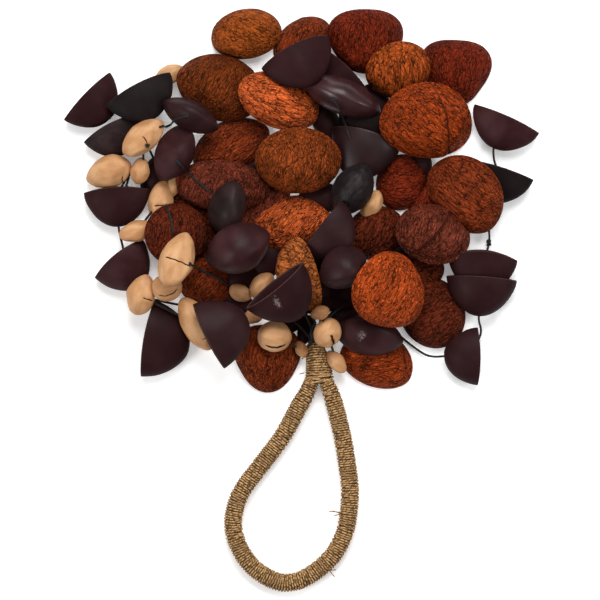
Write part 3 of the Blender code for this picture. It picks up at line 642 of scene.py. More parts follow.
def brown_material(name, shade, spacing, marks=()):
    """Dry wrinkled seed shell: pale ridges between dark wrinkles, blotches and a pale thin rim."""
    n = Nodes(name)
    base = colour(shade)
    light = colour(min(1.0, c * 1.30 + 0.03) for c in shade)
    dark = colour(c * 0.27 for c in shade)
    form = n.attribute("form", "Vector")
    winding = n.swayed(form, 0.4, 2.4)
    away = n.math("ABSOLUTE", n.math("SUBTRACT", n.noise(winding, 0.8 / spacing), 0.5))
    wide = n.cells(winding, 1.0 / spacing)
    close = n.cells(winding, 2.2 / spacing)
    blotch = n.ramp(n.noise(form, 0.14, 3.0), 0.32, 0.68)
    fibre = n.noise(form, 1.5, 4.0, 0.7, 0.4)
    skin = n.mix(blotch, tuple(c * 0.75 for c in base), light)
    pale = tuple(min(1.0, c * 1.45) for c in light)
    skin = n.mix(n.ramp(fibre, 0.42, 0.66, 0.0, 0.9), skin, pale)
    strong = n.ramp(n.noise(form, 0.45), 0.36, 0.56, 0.35, 1.0)
    # Painted shade: the groove attribute darkens the fold valleys and the crease of a step
    veins = n.most(
        n.times(n.ramp(wide, 0.01, 0.14, 0.95, 0.0), strong),
        n.ramp(away, 0.004, 0.03, 0.95, 0.0),
        n.ramp(close, 0.0, 0.16, 0.65, 0.0),
        n.ramp(fibre, 0.28, 0.42, 0.7, 0.0),
        n.times(n.attribute("groove"), 0.6),
        *n.patches(marks),
    )
    skin = n.mix(veins, skin, dark)
    skin = n.mix(n.ramp(n.attribute("rim"), 0.8, 1.0, 0.0, 0.5), skin, light)
    relief = n.plus(n.ramp(wide, 0.0, 0.3), n.ramp(close, 0.0, 0.25, 0.0, 0.4),
                    n.times(fibre, 0.5), n.ramp(away, 0.0, 0.06, 0.0, 0.6))
    roughness = n.ramp(veins, 0.0, 1.0, 0.52, 0.8)
    return n.surface(skin, roughness, 0.05, n.bump(relief, 0.55, 0.9))


def dark_material(name, shades, wear, gloss, marks=(), scuffs=None):
    """Satin seed shell: near-black aubergine with a grey bloom, marks and a few scuffs."""
    n = Nodes(name)
    form = n.attribute("form", "Vector")
    bloom = n.ramp(n.noise(form, 0.07, 3.0), 0.35, 0.7)
    grain = n.noise(form, 1.6, 4.0, 0.6)
    fleck = n.noise(form, 0.8, 5.0, 0.7, 1.2)
    skin = n.mix(bloom, *map(colour, shades))
    skin = n.mix(n.ramp(fleck, 0.66, 0.74, 0.0, 0.5 * wear), skin, colour(DARK_FLECK))
    if scuffs:
        scratch = n.ramp(n.noise(form, 1.1, 5.0, 0.8, 1.0), 0.46, 0.57, 0.0, 0.9)
        skin = n.mix(n.times(n.patch(*scuffs, 0.9), scratch), skin, colour(DARK_SCUFF))
    # Painted shade: darker in the valleys of the worn wrinkles
    skin = n.mix(n.times(n.attribute("groove"), 0.8), skin, colour(DARK_GROOVE))
    edge = n.times(n.ramp(n.attribute("rim"), 0.75, 1.0), n.ramp(grain, 0.40, 0.6, 0.1, 0.5))
    skin = n.mix(edge, skin, colour(DARK_RIM))
    # Painted shade of the holes that are given as marks
    for mark in n.patches(marks):
        skin = n.mix(mark, skin, (0.001, 0.001, 0.001))
    smooth = 0.2 * gloss - 0.1 * wear
    roughness = n.ramp(grain, 0.3, 0.7, 0.44 - smooth, 0.56 - smooth)
    relief = n.plus(n.times(grain, 0.25), n.times(bloom, 0.5))
    normal = n.bump(relief, 0.25, 0.35 + 0.4 * wear)
    return n.surface(skin, roughness, 0.02 + 0.36 * gloss, normal)


def nut_material(name):
    """Pale smooth nut shell with faint streaks, a dark crack and painted shade on one side of some
    nuts.
    """
    n = Nodes(name)
    form = n.attribute("form", "Vector")
    line = n.math("ABSOLUTE", n.attribute("groove"))
    crack = n.times(n.ramp(line, 0.16, 0.42, 1.0, 0.0), n.ramp(n.attribute("reach"), -0.2, 0.9))
    cloud = n.ramp(n.noise(form, 0.18, 3.0), 0.35, 0.7)
    streak = n.noise(form, 0.9, 3.0, 0.55, 0.4)
    tones = {part: colour(rgb) for part, rgb in NUT_COLOURS.items()}
    skin = n.mix(cloud, tones["base"], tones["light"])
    skin = n.mix(n.ramp(streak, 0.55, 0.8, 0.0, 0.35), skin, tones["streak"])
    skin = n.mix(n.times(n.attribute("rim"), 0.45), skin, tones["tip"])
    # Painted shade: darker toward one side of some nuts
    skin = n.mix(n.times(n.attribute("dirt"), 0.85), skin, tones["dirt"])
    skin = n.mix(crack, skin, tones["crack"])
    roughness = n.ramp(streak, 0.3, 0.7, 0.48, 0.62)
    return n.surface(skin, roughness, n.ramp(crack, 0.0, 0.6, 0.3, 0.0), n.bump(streak, 0.2, 0.35))


def cord_material(name, rgb):
    """Black waxed cord: tight twist and a low wax gloss."""
    n = Nodes(name)
    wave = n.math("SINE", n.twist())
    dark = colour(rgb)
    skin = n.mix(n.ramp(wave, -0.6, 0.9), dark, tuple(c * 2.2 for c in dark))
    return n.surface(skin, 0.5, 0.15, n.bump(wave, 0.08, 0.7))


def core_material(name):
    """The bundle of black cords inside the twine: fine dark strands."""
    n = Nodes(name)
    strand = n.noise(n.place(), 900.0, 3.0, 0.6)
    skin = n.mix(strand, (0.006, 0.006, 0.007), (0.035, 0.033, 0.033))
    return n.surface(skin, 0.6, 0.5, n.bump(strand, 0.3, 0.8))


def twine_material(name, settings):
    """Two-ply plant fibre twine: slanted strands, paler hairs, painted highlights and shade along
    the plies, and painted shade between the turns.
    """
    n = Nodes(name)
    along = n.attribute("form", "Vector")
    ply = n.math("SINE", n.plus(n.twist(), n.times(n.noise(along, 0.5), 14.0)))
    patch = n.noise(along, 0.35, 3.0)
    strand = n.noise(along, 5.0, 3.0, 0.7)
    base, light, dark = (tuple(c) for c in (settings.base, settings.light, settings.dark))
    skin = base
    # Painted highlight on the crest of each ply and painted shade between the plies, and painted
    # shade on the inner side of the turns where groove is high; the patch and strand tones are the
    # fibre's own
    for share, tone in (
        (n.ramp(patch, 0.3, 0.7, 0.0, 0.7), light), (n.ramp(ply, 0.2, 1.0, 0.0, 0.7), light),
        (n.ramp(ply, -1.0, -0.1, 0.85, 0.0), dark), (n.ramp(strand, 0.55, 0.75, 0.0, 0.6), light),
        (n.ramp(strand, 0.25, 0.42, 0.55, 0.0), dark), (n.times(n.attribute("groove"), 0.92), dark),
    ):
        skin = n.mix(share, skin, tone)
    relief = n.plus(n.times(strand, 0.7), ply)
    return n.surface(skin, 0.85, 0.1, n.bump(relief, 0.2, 0.9))


# Shells


def level_lines(place, spacing, sharp):
    """How deep in a wrinkle a point is, from 0 to 1, on a network of thin winding lines."""
    first = noise.noise(place / spacing, noise_basis="PERLIN_ORIGINAL")
    second = noise.noise(place / spacing * 2.1 + Vector((7.3, 1.9, 4.4)))
    return max(math.exp(-((first / sharp) ** 2)), 0.6 * math.exp(-((second / sharp) ** 2)))


def make_dome(bm, sides, rings, hole):
    """A unit dome with its rim on Z = 0, open at the top where it has a cord hole."""
    bmesh.ops.create_uvsphere(bm, u_segments=sides, v_segments=2 * rings, radius=1.0)
    whole = bm.verts[:] + bm.edges[:] + bm.faces[:]
    bmesh.ops.bisect_plane(bm, geom=whole, plane_co=(0, 0, 0), plane_no=(0, 0, 1),
                           dist=1e-5, clear_inner=True)
    if hole:
        pole = max(bm.verts, key=lambda v: v.co.z)
        bmesh.ops.delete(bm, geom=[pole], context="VERTS")


def shape_dome(bm, size, fullness, form, hole, rings):
    """Give the unit dome the shell's outline, dome and hole."""
    length, width, depth = size
    first = math.sin(math.pi / (2 * rings)) * 1.01
    for vert in bm.verts:
        share = min(1.0, math.hypot(vert.co.x, vert.co.y))
        angle = math.atan2(vert.co.y, vert.co.x)
        if hole and share <= first:
            radius = hole / 2
            level = depth * (1 - (hole / width) ** 2) ** fullness
            vert.co = (radius * math.cos(angle), radius * math.sin(angle), level)
            continue
        x, y = rim_point(angle, length, width, **form)
        vert.co = (share * x, share * y, depth * (1 - share**2) ** fullness)


def shell_piece(name, node, slot, pose, size, wall, fullness, form, material, sides, rings,
                relief, grain=0.0, stretch=1.0, hole=0.0, bulge=0.0):
    """A shell with an outer and an inner wall, a rounded rim and its own surface relief."""
    outer, inner = bmesh.new(), bmesh.new()
    make_dome(outer, sides, rings, hole)
    shape_dome(outer, size, fullness, form, hole, rings)
    few = max(8, rings // 3)
    make_dome(inner, sides, few, hole)
    inside = (size[0] - 2 * wall, size[1] - 2 * wall, size[2] - wall)
    shape_dome(inner, inside, fullness, form, hole, few)
    outer.normal_update()
    letters = sum(map(ord, node))
    seed = Vector((letters * 1.7 % 50, letters * 3.1 % 50, 0.0))
    deep = {}
    for vert in outer.verts:
        shift, groove = relief(vert.co.copy(), vert.normal.copy(), seed)
        vert.co += shift
        deep[tuple(round(c, 4) for c in vert.co)] = groove
    for vert in inner.verts:
        vert.co += relief(vert.co.copy(), Vector(), seed)[0]
    turned = bpy.data.meshes.new("inner")
    bmesh.ops.reverse_faces(inner, faces=inner.faces[:])
    inner.to_mesh(turned)
    inner.free()
    outer.from_mesh(turned)
    bpy.data.meshes.remove(turned)
    open_edges = [e for e in outer.edges if e.is_boundary]
    rims = [e for e in open_edges if max(v.co.z for v in e.verts) < size[2] * 0.5]
    bmesh.ops.bridge_loops(outer, edges=rims)
    if hole:
        bmesh.ops.bridge_loops(outer, edges=[e for e in open_edges if e.is_valid and e.is_boundary])
    edges = [e for e in rims if e.is_valid]
    bmesh.ops.bevel(outer, geom=edges, offset=RIM_BEVEL, segments=2, profile=0.5,
                    affect="EDGES", material=-1)
    bmesh.ops.recalc_face_normals(outer, faces=outer.faces[:])
    form_layer = outer.verts.layers.float_vector.new("form")
    groove_layer = outer.verts.layers.float.new("groove")
    rim_layer = outer.verts.layers.float.new("rim")
    place, turn = pose
    with_grain = Matrix.Rotation(-math.radians(grain), 3, "Z")
    for vert in outer.verts:
        co = vert.co
        along = with_grain @ co
        vert[form_layer] = Vector((along.x / stretch, along.y, along.z)) + seed
        vert[groove_layer] = deep.get(tuple(round(c, 4) for c in co), 0.0)
        vert[rim_layer] = max(0.0, 1 - max(co.z, 0.0) / (0.09 * size[2]))
        middle = max(0.0, 1 - (2 * co.x / size[0]) ** 2)
        vert.co.z -= bulge * middle * max(0.0, 1 - co.z / size[2]) ** 2
    bmesh.ops.transform(outer, matrix=turn.to_4x4(), verts=outer.verts[:])
    bmesh.ops.translate(outer, vec=place, verts=outer.verts[:])
    return finish_piece(name, outer, material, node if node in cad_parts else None)


def wrinkled(grain, spacing, depth, size, pose, step=None):
    """The relief of a brown shell: lumps, folds along a direction, and a lobe that lies lower."""
    turn = Matrix.Rotation(-math.radians(grain), 3, "Z")

    def lobe(co):
        """How far a point has gone down the step, and how close to its edge it is."""
        x, y, toward, bend, drop = step
        lying = pose[0] + pose[1] @ co
        angle = math.radians(toward)
        side = (lying.y - y) * math.cos(angle) - (lying.x - x) * math.sin(angle)
        past = (lying.x - x) * math.cos(angle) + (lying.y - y) * math.sin(angle) + bend * side**2
        share = min(1.0, max(0.0, past / STEP_SLOPE))
        return drop * share * share * (3 - 2 * share), math.exp(-((past / STEP_LINE) ** 2))

    def relief(co, normal, seed):
        lump = noise.noise(co / 13.0 + seed) * 0.8 + noise.noise(co / 6.0 - seed) * 0.4
        along = turn @ co
        place = Vector((along.x / 2.5, along.y, along.z)) + seed
        fold = level_lines(place, spacing * 1.5, 0.16)
        fade = min(1.0, max(co.z, 0.0) / (0.2 * size[2]))
        down, near = lobe(co) if step else (0.0, 0.0)
        if normal.length < 0.5:
            return Vector((0.0, 0.0, (0.4 * lump - down) * fade)), 0.0
        out = lump * 0.8 - depth * 0.8 * fold - down
        # The second value is painted shade, darker in the fold valleys and along the step's crease
        return normal * (out * fade - 0.1), min(1.4, fold * fade * 0.7 + near * 1.6)

    return relief


def smooth_skin(wear):
    """The relief of a dark shell: slow hollows, and fine wrinkles where it is worn."""

    def relief(co, normal, seed):
        lump = noise.noise(co / 11.0 + seed) * 0.5
        fade = min(1.0, max(co.z, 0.0) / 3.0)
        fold = level_lines(Vector((co.x / 2.0, co.y, co.z)) + seed, 4.0, 0.10)
        fold *= max(0.0, wear - 0.5) * 2
        if normal.length < 0.5:
            return Vector((0.0, 0.0, 0.4 * lump * fade)), 0.0
        # The second value is painted shade for the wrinkle valleys
        return normal * ((lump - 0.45 * fold) * fade), fold * fade

    return relief


# Tubes


def tube_piece(name, line, radius, resolution, material, pitch, node=None, thick=None):
    """A round tube along a line in metres, with its twist stored along and around it."""
    line = np.column_stack([line[:, :2], np.maximum(line[:, 2], radius)])
    curve = bpy.data.curves.new(name, "CURVE")
    curve.dimensions = "3D"
    curve.bevel_depth = radius
    curve.bevel_resolution = resolution
    curve.use_fill_caps = True
    spline = curve.splines.new("POLY")
    spline.points.add(len(line) - 1)
    for i, (point, place) in enumerate(zip(spline.points, line)):
        point.co = (*place, 1.0)
        if thick is not None:
            point.radius = thick[i]
    spline.use_smooth = True
    holder = bpy.data.objects.new(name + "_line", curve)
    bpy.context.scene.collection.objects.link(holder)
    mesh = bpy.data.meshes.new_from_object(holder)
    mesh.name = name
    bpy.data.objects.remove(holder, do_unlink=True)
    bpy.data.curves.remove(curve)
    sides = len(mesh.vertices) // len(line)
    steps = distances(line)
    count = len(mesh.vertices)
    station = np.minimum(np.arange(count) // sides, len(line) - 1)
    around = (np.arange(count) % sides) / sides
    angle = 2 * math.pi * (steps[station] / pitch + around)
    twist = np.column_stack([angle, around, steps[station]])
    piece = add_piece(name, mesh, material, node)
    store(piece, "twist", twist)
    return piece


def cord_piece(name, line, radius, black, node=None):
    """A run of black cord."""
    return tube_piece(name, line, radius, 2, black, CORD_TWIST, node)


def store(piece, name, values):
    """Keep one number or vector for each vertex of a piece."""
    values = np.asarray(values, float)
    kind = "FLOAT" if values.ndim == 1 else "FLOAT_VECTOR"
    field = "value" if values.ndim == 1 else "vector"
    piece.data.attributes.new(name, kind, "POINT").data.foreach_set(field, values.ravel())


def core_line(step):
    """The rope core's centre line in mm."""
    plan = smooth_line(CORE_ROUTE, step)
    share = np.clip((plan[:, 1] - LOOP_START) / NECK_EASE + 1, 0, 1)
    return np.column_stack([plan, LOOP_HEIGHT + (NECK_HEIGHT - LOOP_HEIGHT) * share])


def core_radius(y):
    """The core's radius in mm along Y."""
    return np.interp(y, CORE_STATIONS, CORE_RADII)


# Settings


class ShellSettings(bpy.types.PropertyGroup):
    """Fineness and holes of the seed shells."""

    brown_sides: IntProperty(name="Brown sides", description="Steps round a brown shell",
                             default=120)
    brown_rings: IntProperty(name="Brown rings", description="Steps up a brown shell", default=34)
    dark_sides: IntProperty(name="Dark sides", description="Steps round a dark shell", default=72)
    dark_rings: IntProperty(name="Dark rings", description="Steps up a dark shell", default=22)
    hole: FloatProperty(name="Cord hole", description="Width of the cord hole of a dark shell",
                        default=1.9 * MM, unit="LENGTH", subtype="DISTANCE")


class CordSettings(bpy.types.PropertyGroup):
    """The black cords."""

    diameter: FloatProperty(name="Diameter", description="Thickness of a cord", default=1.3 * MM,
                            unit="LENGTH", subtype="DISTANCE")
    tint: FloatVectorProperty(name="Colour", description="Colour of the waxed cord", size=3,
                              subtype="COLOR", default=(0.11, 0.10, 0.10), min=0.0, max=1.0)


class TwineSettings(bpy.types.PropertyGroup):
    """The twine round the hand loop and the neck."""

    diameter: FloatProperty(name="Diameter", description="Thickness of the twine",
                            default=1.22 * MM, unit="LENGTH", subtype="DISTANCE")
    pitch: FloatProperty(name="Pitch", description="Distance between turns", default=1.34 * MM,
                         unit="LENGTH", subtype="DISTANCE")
    base: FloatVectorProperty(name="Colour", description="Colour of the fibre", size=3,
                              subtype="COLOR", default=(0.42, 0.225, 0.08), min=0.0, max=1.0)
    # Light is a painted highlight on the plies as well as the colour of the paler strands; dark is
    # painted shade between the plies and the turns as well as the colour of the darker strands
    light: FloatVectorProperty(name="Light", description="Colour of its lighter strands", size=3,
                               subtype="COLOR", default=(0.66, 0.41, 0.19), min=0.0, max=1.0)
    dark: FloatVectorProperty(name="Dark", description="Colour between the plies", size=3,
                              subtype="COLOR", default=(0.06, 0.028, 0.012), min=0.0, max=1.0)


class StudioSettings(bpy.types.PropertyGroup):
    """Floor, lights and camera."""

    height: FloatProperty(name="Camera height", description="Camera above the floor", default=2.4,
                          unit="LENGTH", subtype="DISTANCE")
    view: FloatProperty(name="View", description="Width of floor in view", default=0.33,
                        unit="LENGTH", subtype="DISTANCE")
    key: FloatProperty(name="Key light", description="Power of the large overhead light",
                       default=21.0)
    table: FloatProperty(name="Light table", description="Light that comes through the white floor",
                         default=0.25)
    fill: FloatProperty(name="Fill", description="Strength of the even light from around",
                        default=0.22)


# Operators


class SHAKER_OT_stage(bpy.types.Operator):
    """Lay the pale floor and set the lights and the camera that looks straight down."""

    bl_idname = "shaker.stage"
    bl_label = "Stage"

    def execute(self, context):
        settings = context.scene.shaker_studio
        bm = bmesh.new()
        bmesh.ops.create_grid(bm, x_segments=2, y_segments=2, size=4.0)
        mesh = bpy.data.meshes.new("floor")
        bm.to_mesh(mesh)
        bm.free()
        n = Nodes("floor_paper")
        for socket, value in (
            ("Base Color", (0.98, 0.98, 0.98, 1.0)), ("Roughness", 0.9),
            ("Specular IOR Level", 0.1), ("Emission Color", (1.0, 1.0, 1.0, 1.0)),
            ("Emission Strength", settings.table),
        ):
            n.feed(n.shader, socket, value)
        mesh.materials.append(n.material)
        floor = bpy.data.objects.new("floor", mesh)
        floor.location.z = -FLOOR_DROP
        context.scene.collection.objects.link(floor)

        world = bpy.data.worlds.new("studio")
        world.use_nodes = True
        back = world.node_tree.nodes["Background"]
        back.inputs["Color"].default_value = (1.0, 1.0, 1.0, 1.0)
        back.inputs["Strength"].default_value = settings.fill
        context.scene.world = world
        self.light("key", (0.1, 0.9, 1.2), 0.9, settings.key)
        self.light("left", (-0.95, -0.45, 1.0), 0.5, settings.key * 0.42)
        self.light("right", (1.0, 0.0, 1.0), 0.5, settings.key * 0.25)

        camera = bpy.data.cameras.new("camera")
        camera.sensor_width = SENSOR
        camera.lens = SENSOR * (settings.height - FOCUS_HEIGHT) / settings.view
        camera.clip_end = 20.0
        item = bpy.data.objects.new("camera", camera)
        item.location = (0.0, 0.0, settings.height)
        context.scene.collection.objects.link(item)
        context.scene.camera = item
        context.scene.view_settings.view_transform = "Standard"
        return {"FINISHED"}

    def light(self, name, place, size, power):
        """A square soft light that looks at the middle of the shaker."""
        lamp = bpy.data.lights.new(name, "AREA")
        lamp.energy = power
        lamp.size = size
        item = bpy.data.objects.new(name, lamp)
        item.location = place
        item.rotation_euler = (-Vector(place)).to_track_quat("-Z", "Y").to_euler()
        bpy.context.scene.collection.objects.link(item)


class SHAKER_OT_cords(bpy.types.Operator):
    """Make the free black cords."""

    bl_idname = "shaker.cords"
    bl_label = "Cords"

    def execute(self, context):
        settings = context.scene.shaker_cords
        black = cord_material("black_cord", settings.tint)
        for name, route in CORD_ROUTES.items():
            line = smooth_line(np.array(route), 1.2) * MM
            piece = cord_piece("waxed_" + name, line, settings.diameter / 2, black, name)
        return {"FINISHED"}


class SHAKER_OT_brown_shells(bpy.types.Operator):
    """Make the wrinkled brown half shells in the places of the frame's."""

    bl_idname = "shaker.brown_shells"
    bl_label = "Brown shells"

    def execute(self, context):
        settings = context.scene.shaker_shells
        for number, row in BROWN_SHELLS.items():
            node = f"brown_shell_{number:02d}"
            x, y, heading, size, lean, form, shade, direction, spacing, depth = row
            corners = frame_corners(size, BROWN_WALL, BROWN_FULLNESS, form)
            pose = shell_pose(node, x, y, heading, lean, corners)
            look = brown_material("wrinkled_" + node, BROWN_COLOURS[shade], spacing,
                                  BROWN_MARKS.get(number, ()))
            grain = direction - heading
            shell_piece("wrinkled_" + node, node, "brown_shell", pose, size, BROWN_WALL,
                        BROWN_FULLNESS, form, look, settings.brown_sides, settings.brown_rings,
                        wrinkled(grain, spacing, depth, size, pose, STEPS.get(number)), grain,
                        BROWN_STRETCH)
        return {"FINISHED"}


class SHAKER_OT_dark_shells(bpy.types.Operator):
    """Make the smooth dark half shells, also those that sit in another."""

    bl_idname = "shaker.dark_shells"
    bl_label = "Dark shells"

    def execute(self, context):
        poses = {}
        hole = context.scene.shaker_shells.hole / MM
        for number, (x, y, heading, size, lean, *finish) in DARK_SHELLS.items():
            corners = frame_corners(size, DARK_WALL, DARK_FULLNESS, DARK_FORM)
            poses[number] = shell_pose(f"dark_shell_{number:02d}", x, y, heading, lean, corners)
            self.make(context, number, poses[number], size, *finish,
                      hole if lean > OPEN_LEAN else 0.0)
        for number, (carrier, size, *finish) in NESTED.items():
            place, turn = poses[carrier]
            pose = (place + turn @ Vector((0.0, 0.0, -NEST_OFFSET)), turn)
            self.make(context, number, pose, size, *finish, hole)
        return {"FINISHED"}

    def make(self, context, number, pose, size, shade, wear, gloss, hole):
        """One dark shell."""
        settings = context.scene.shaker_shells
        node = f"dark_shell_{number:02d}"
        look = dark_material("satin_" + node, DARK_COLOURS[shade], wear, gloss,
                             DARK_MARKS.get(number, ()), SCUFFS.get(number))
        shell_piece("satin_" + node, node, "dark_shell", pose, size, DARK_WALL, DARK_FULLNESS,
                    DARK_FORM, look, settings.dark_sides, settings.dark_rings, smooth_skin(wear),
                    hole=hole, bulge=BULGES.get(number, 0.0))


class SHAKER_OT_nuts(bpy.types.Operator):
    """Make the pale nuts and the runs of cord between them."""

    bl_idname = "shaker.nuts"
    bl_label = "Nuts"

    def execute(self, context):
        look = nut_material("pale_nut")
        black = bpy.data.materials["black_cord"]
        radius = context.scene.shaker_cords.diameter / 2
        for string, nuts in NUT_STRINGS.items():
            node = f"nut_string_{string}"
            points = np.array([v.co[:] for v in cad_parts[node].data.vertices]) / MM
            tree = kdtree.KDTree(len(points))
            for i, point in enumerate(points):
                tree.insert(point, i)
            tree.balance()
            middles = []
            bm, layers = self.start()
            for number, (x, y, heading, size, thicker, crack) in enumerate(nuts):
                place, turn = nut_pose(points, tree, x, y, heading, *size)
                middles.append(np.array(place))
                self.add_nut(bm, layers, place, turn, size, thicker, crack, number + len(nuts),
                             SHADED_NUTS.get((string, number)))
            finish_piece(node + "_nuts", bm, look, node)
            cord_piece(node + "_run", smooth_line(middles, 1.0) * MM, radius, black)
        for number, (x, y, z, heading, size) in enumerate(LOOSE_NUTS):
            bm, layers = self.start()
            self.add_nut(bm, layers, Vector((x, y, z)), upright(heading, 0), size, 0.05, None,
                         number)
            finish_piece(f"loose_nut_{number + 1}", bm, look)
        return {"FINISHED"}

    def start(self):
        """A bmesh for nuts, with the layers that their finish reads."""
        bm = bmesh.new()
        numbers = [bm.verts.layers.float.new(name) for name in ("groove", "reach", "rim", "dirt")]
        return bm, (bm.verts.layers.float_vector.new("form"), *numbers)

    def facets(self, seed):
        """Directions of the flat faces that a nut has toward both ends."""
        found = []
        for end in (-1, 1):
            for i in range(4):
                around = math.radians(90 * i + 37 * seed + 25 * end)
                found.append(Vector((end * 0.5, 0.87 * math.cos(around), 0.87 * math.sin(around))))
        return [f.normalized() for f in found]

    def add_nut(self, bm, layers, place, turn, size, thicker, crack, seed, dirt=None):
        """One pointed nut with soft facets and a thin crack across its upper side."""
        length, width = size
        plump = length - width < FLAT_LIMIT
        facets, fullness = ([], 0.5) if plump else (self.facets(seed), NUT_FULLNESS)
        made = bmesh.ops.create_uvsphere(bm, u_segments=56, v_segments=44, radius=1.0,
                                         matrix=Matrix.Rotation(math.pi / 2, 4, "Y"))["verts"]
        shift = Vector((seed * 9.7, seed * 5.3, 0.0))
        form_layer, groove_layer, reach_layer, rim_layer, painted_shade_layer = layers
        for vert in made:
            along = max(-1.0, min(1.0, vert.co.x))
            around = math.atan2(vert.co.z, vert.co.y)
            radius = width / 2 * (1 - along**2) ** fullness * (1 + thicker * along)
            radius *= 1 + 0.035 * math.cos(3 * around + seed) + 0.02 * math.cos(5 * around)
            co = Vector((along * length / 2, radius * math.cos(around), radius * math.sin(around)))
            for facet in facets:
                even = Vector((2 * co.x / length, 2 * co.y / width, 2 * co.z / width))
                over = even.dot(facet) - FACET_REACH
                if over > 0:
                    cut = facet * over * FACET_CUT
                    co -= Vector((cut.x * length, cut.y * width, cut.z * width)) / 2
            co *= 1 + 0.03 * noise.noise(co / 5.0 + shift)
            lying = turn @ co
            distance, reach = 9.0, -9.0
            if crack and lying.z > -0.1 * width:
                across, offset, middle, half, bend, wide = crack
                angle = math.radians(across)
                side = lying.y * math.cos(angle) - lying.x * math.sin(angle) - middle
                distance = (lying.x * math.cos(angle) + lying.y * math.sin(angle) - offset
                            + bend * side**2 + 0.45 * noise.noise(lying / 1.6 + shift)) / wide
                reach = half - abs(side)
                if reach > 0:
                    valley = 0.45 * wide * math.exp(-((distance / 0.45) ** 2))
                    lying -= lying.normalized() * valley
            vert[form_layer] = Vector((co.x / 2.5, co.y, co.z)) + shift
            vert[groove_layer] = distance
            vert[reach_layer] = reach
            vert[rim_layer] = max(0.0, (abs(along) - NUT_TIP) / (1 - NUT_TIP))
            # Painted shade on one side of the nut, from none at the start to full toward the given
            # direction
            if dirt:
                toward, start, full = math.radians(dirt[0]), dirt[1], dirt[2]
                reach = lying.x * math.cos(toward) + lying.y * math.sin(toward)
                vert[painted_shade_layer] = min(1.0, max(0.0, (reach - start) / (full - start)))
            vert.co = place + lying


class SHAKER_OT_buried(bpy.types.Operator):
    """Make the shells that lie deep in the heap and only show between the others; the dark ones
    stand in for the deep shade in the gaps.
    """

    bl_idname = "shaker.buried"
    bl_label = "Buried shells"

    def execute(self, context):
        for number, (x, y, heading, size, shade) in enumerate(BURIED_SHELLS):
            pose = (Vector((x, y, BURIED_RISE)), upright(heading, 0))
            name = f"buried_shell_{number + 1}"
            if shade in DARK_COLOURS:
                look = dark_material(name, DARK_COLOURS[shade], BURIED_WEAR, BURIED_GLOSS)
                shell_piece(name, name, "dark_shell", pose, size, DARK_WALL, DARK_FULLNESS, {},
                            look, *BURIED_DARK_STEPS, smooth_skin(BURIED_WEAR))
            else:
                look = brown_material(name, BROWN_COLOURS[shade], BURIED_SPACING)
                relief = wrinkled(BURIED_GRAIN, BURIED_SPACING, BURIED_DEPTH, size, pose)
                shell_piece(name, name, "brown_shell", pose, size, BROWN_WALL, BROWN_FULLNESS, {},
                            look, *BURIED_BROWN_STEPS, relief, BURIED_GRAIN, BURIED_STRETCH)
        return {"FINISHED"}


class SHAKER_OT_cord_runs(bpy.types.Operator):
    """Make the short runs of cord between shells, and the knots."""

    bl_idname = "shaker.cord_runs"
    bl_label = "Cord runs and knots"

    def execute(self, context):
        black = bpy.data.materials["black_cord"]
        radius = context.scene.shaker_cords.diameter / 2
        context.view_layer.update()
        for number, route in enumerate(CORD_RUNS):
            points = [(x, y, self.level(context, x, y, 0.5) if z is None else z)
                      for x, y, z in route]
            fine = smooth_line(points, 1.0)
            if route[0][2] is None and route[-1][2] is None:
                lying = [self.level(context, x, y, 0.45) for x, y, _ in fine]
                even = np.convolve(np.pad(lying, 2, mode="edge"), np.ones(5) / 5, "valid")
                fine[:, 2] = np.maximum(even, fine[:, 2] - 4.0)
                fine[[0, -1], 2] -= END_DIP
            cord_piece(f"cord_run_{number + 1}", fine * MM, radius, black)
        for number, (x, y, z, width) in enumerate(KNOTS):
            level = self.level(context, x, y, 0.3) if z is None else z
            self.knot(f"knot_{number + 1}", (x, y, level), width, radius, black, number)
        return {"FINISHED"}

    def level(self, context, x, y, above):
        """The height in mm of what lies at a place in plan."""
        graph = context.evaluated_depsgraph_get()
        start, down = Vector((x * MM, y * MM, 0.2)), Vector((0, 0, -1))
        while True:
            hit, where, _, _, thing, _ = context.scene.ray_cast(graph, start, down)
            if not hit or thing.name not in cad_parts:
                return max(0.0, where.z / MM if hit else 0.0) + above
            start = where - Vector((0, 0, 1e-6))

    def knot(self, name, middle, width, radius, look, seed):
        """An overhand knot: a closed trefoil of cord pulled tight."""
        turn = np.array(tilted(25, 40 * seed) @ upright(50 * seed, 0))
        angle = np.linspace(0, 2 * math.pi, 49)
        trefoil = np.column_stack([
            np.sin(angle) + 2 * np.sin(2 * angle), np.cos(angle) - 2 * np.cos(2 * angle),
            -np.sin(3 * angle),
        ]) * (width / 2 - radius / MM * 0.6) / 3.0
        line = (trefoil @ turn.T + np.array(middle)) * MM
        tube_piece(name, line, radius * 0.85, 1, look, CORD_TWIST)


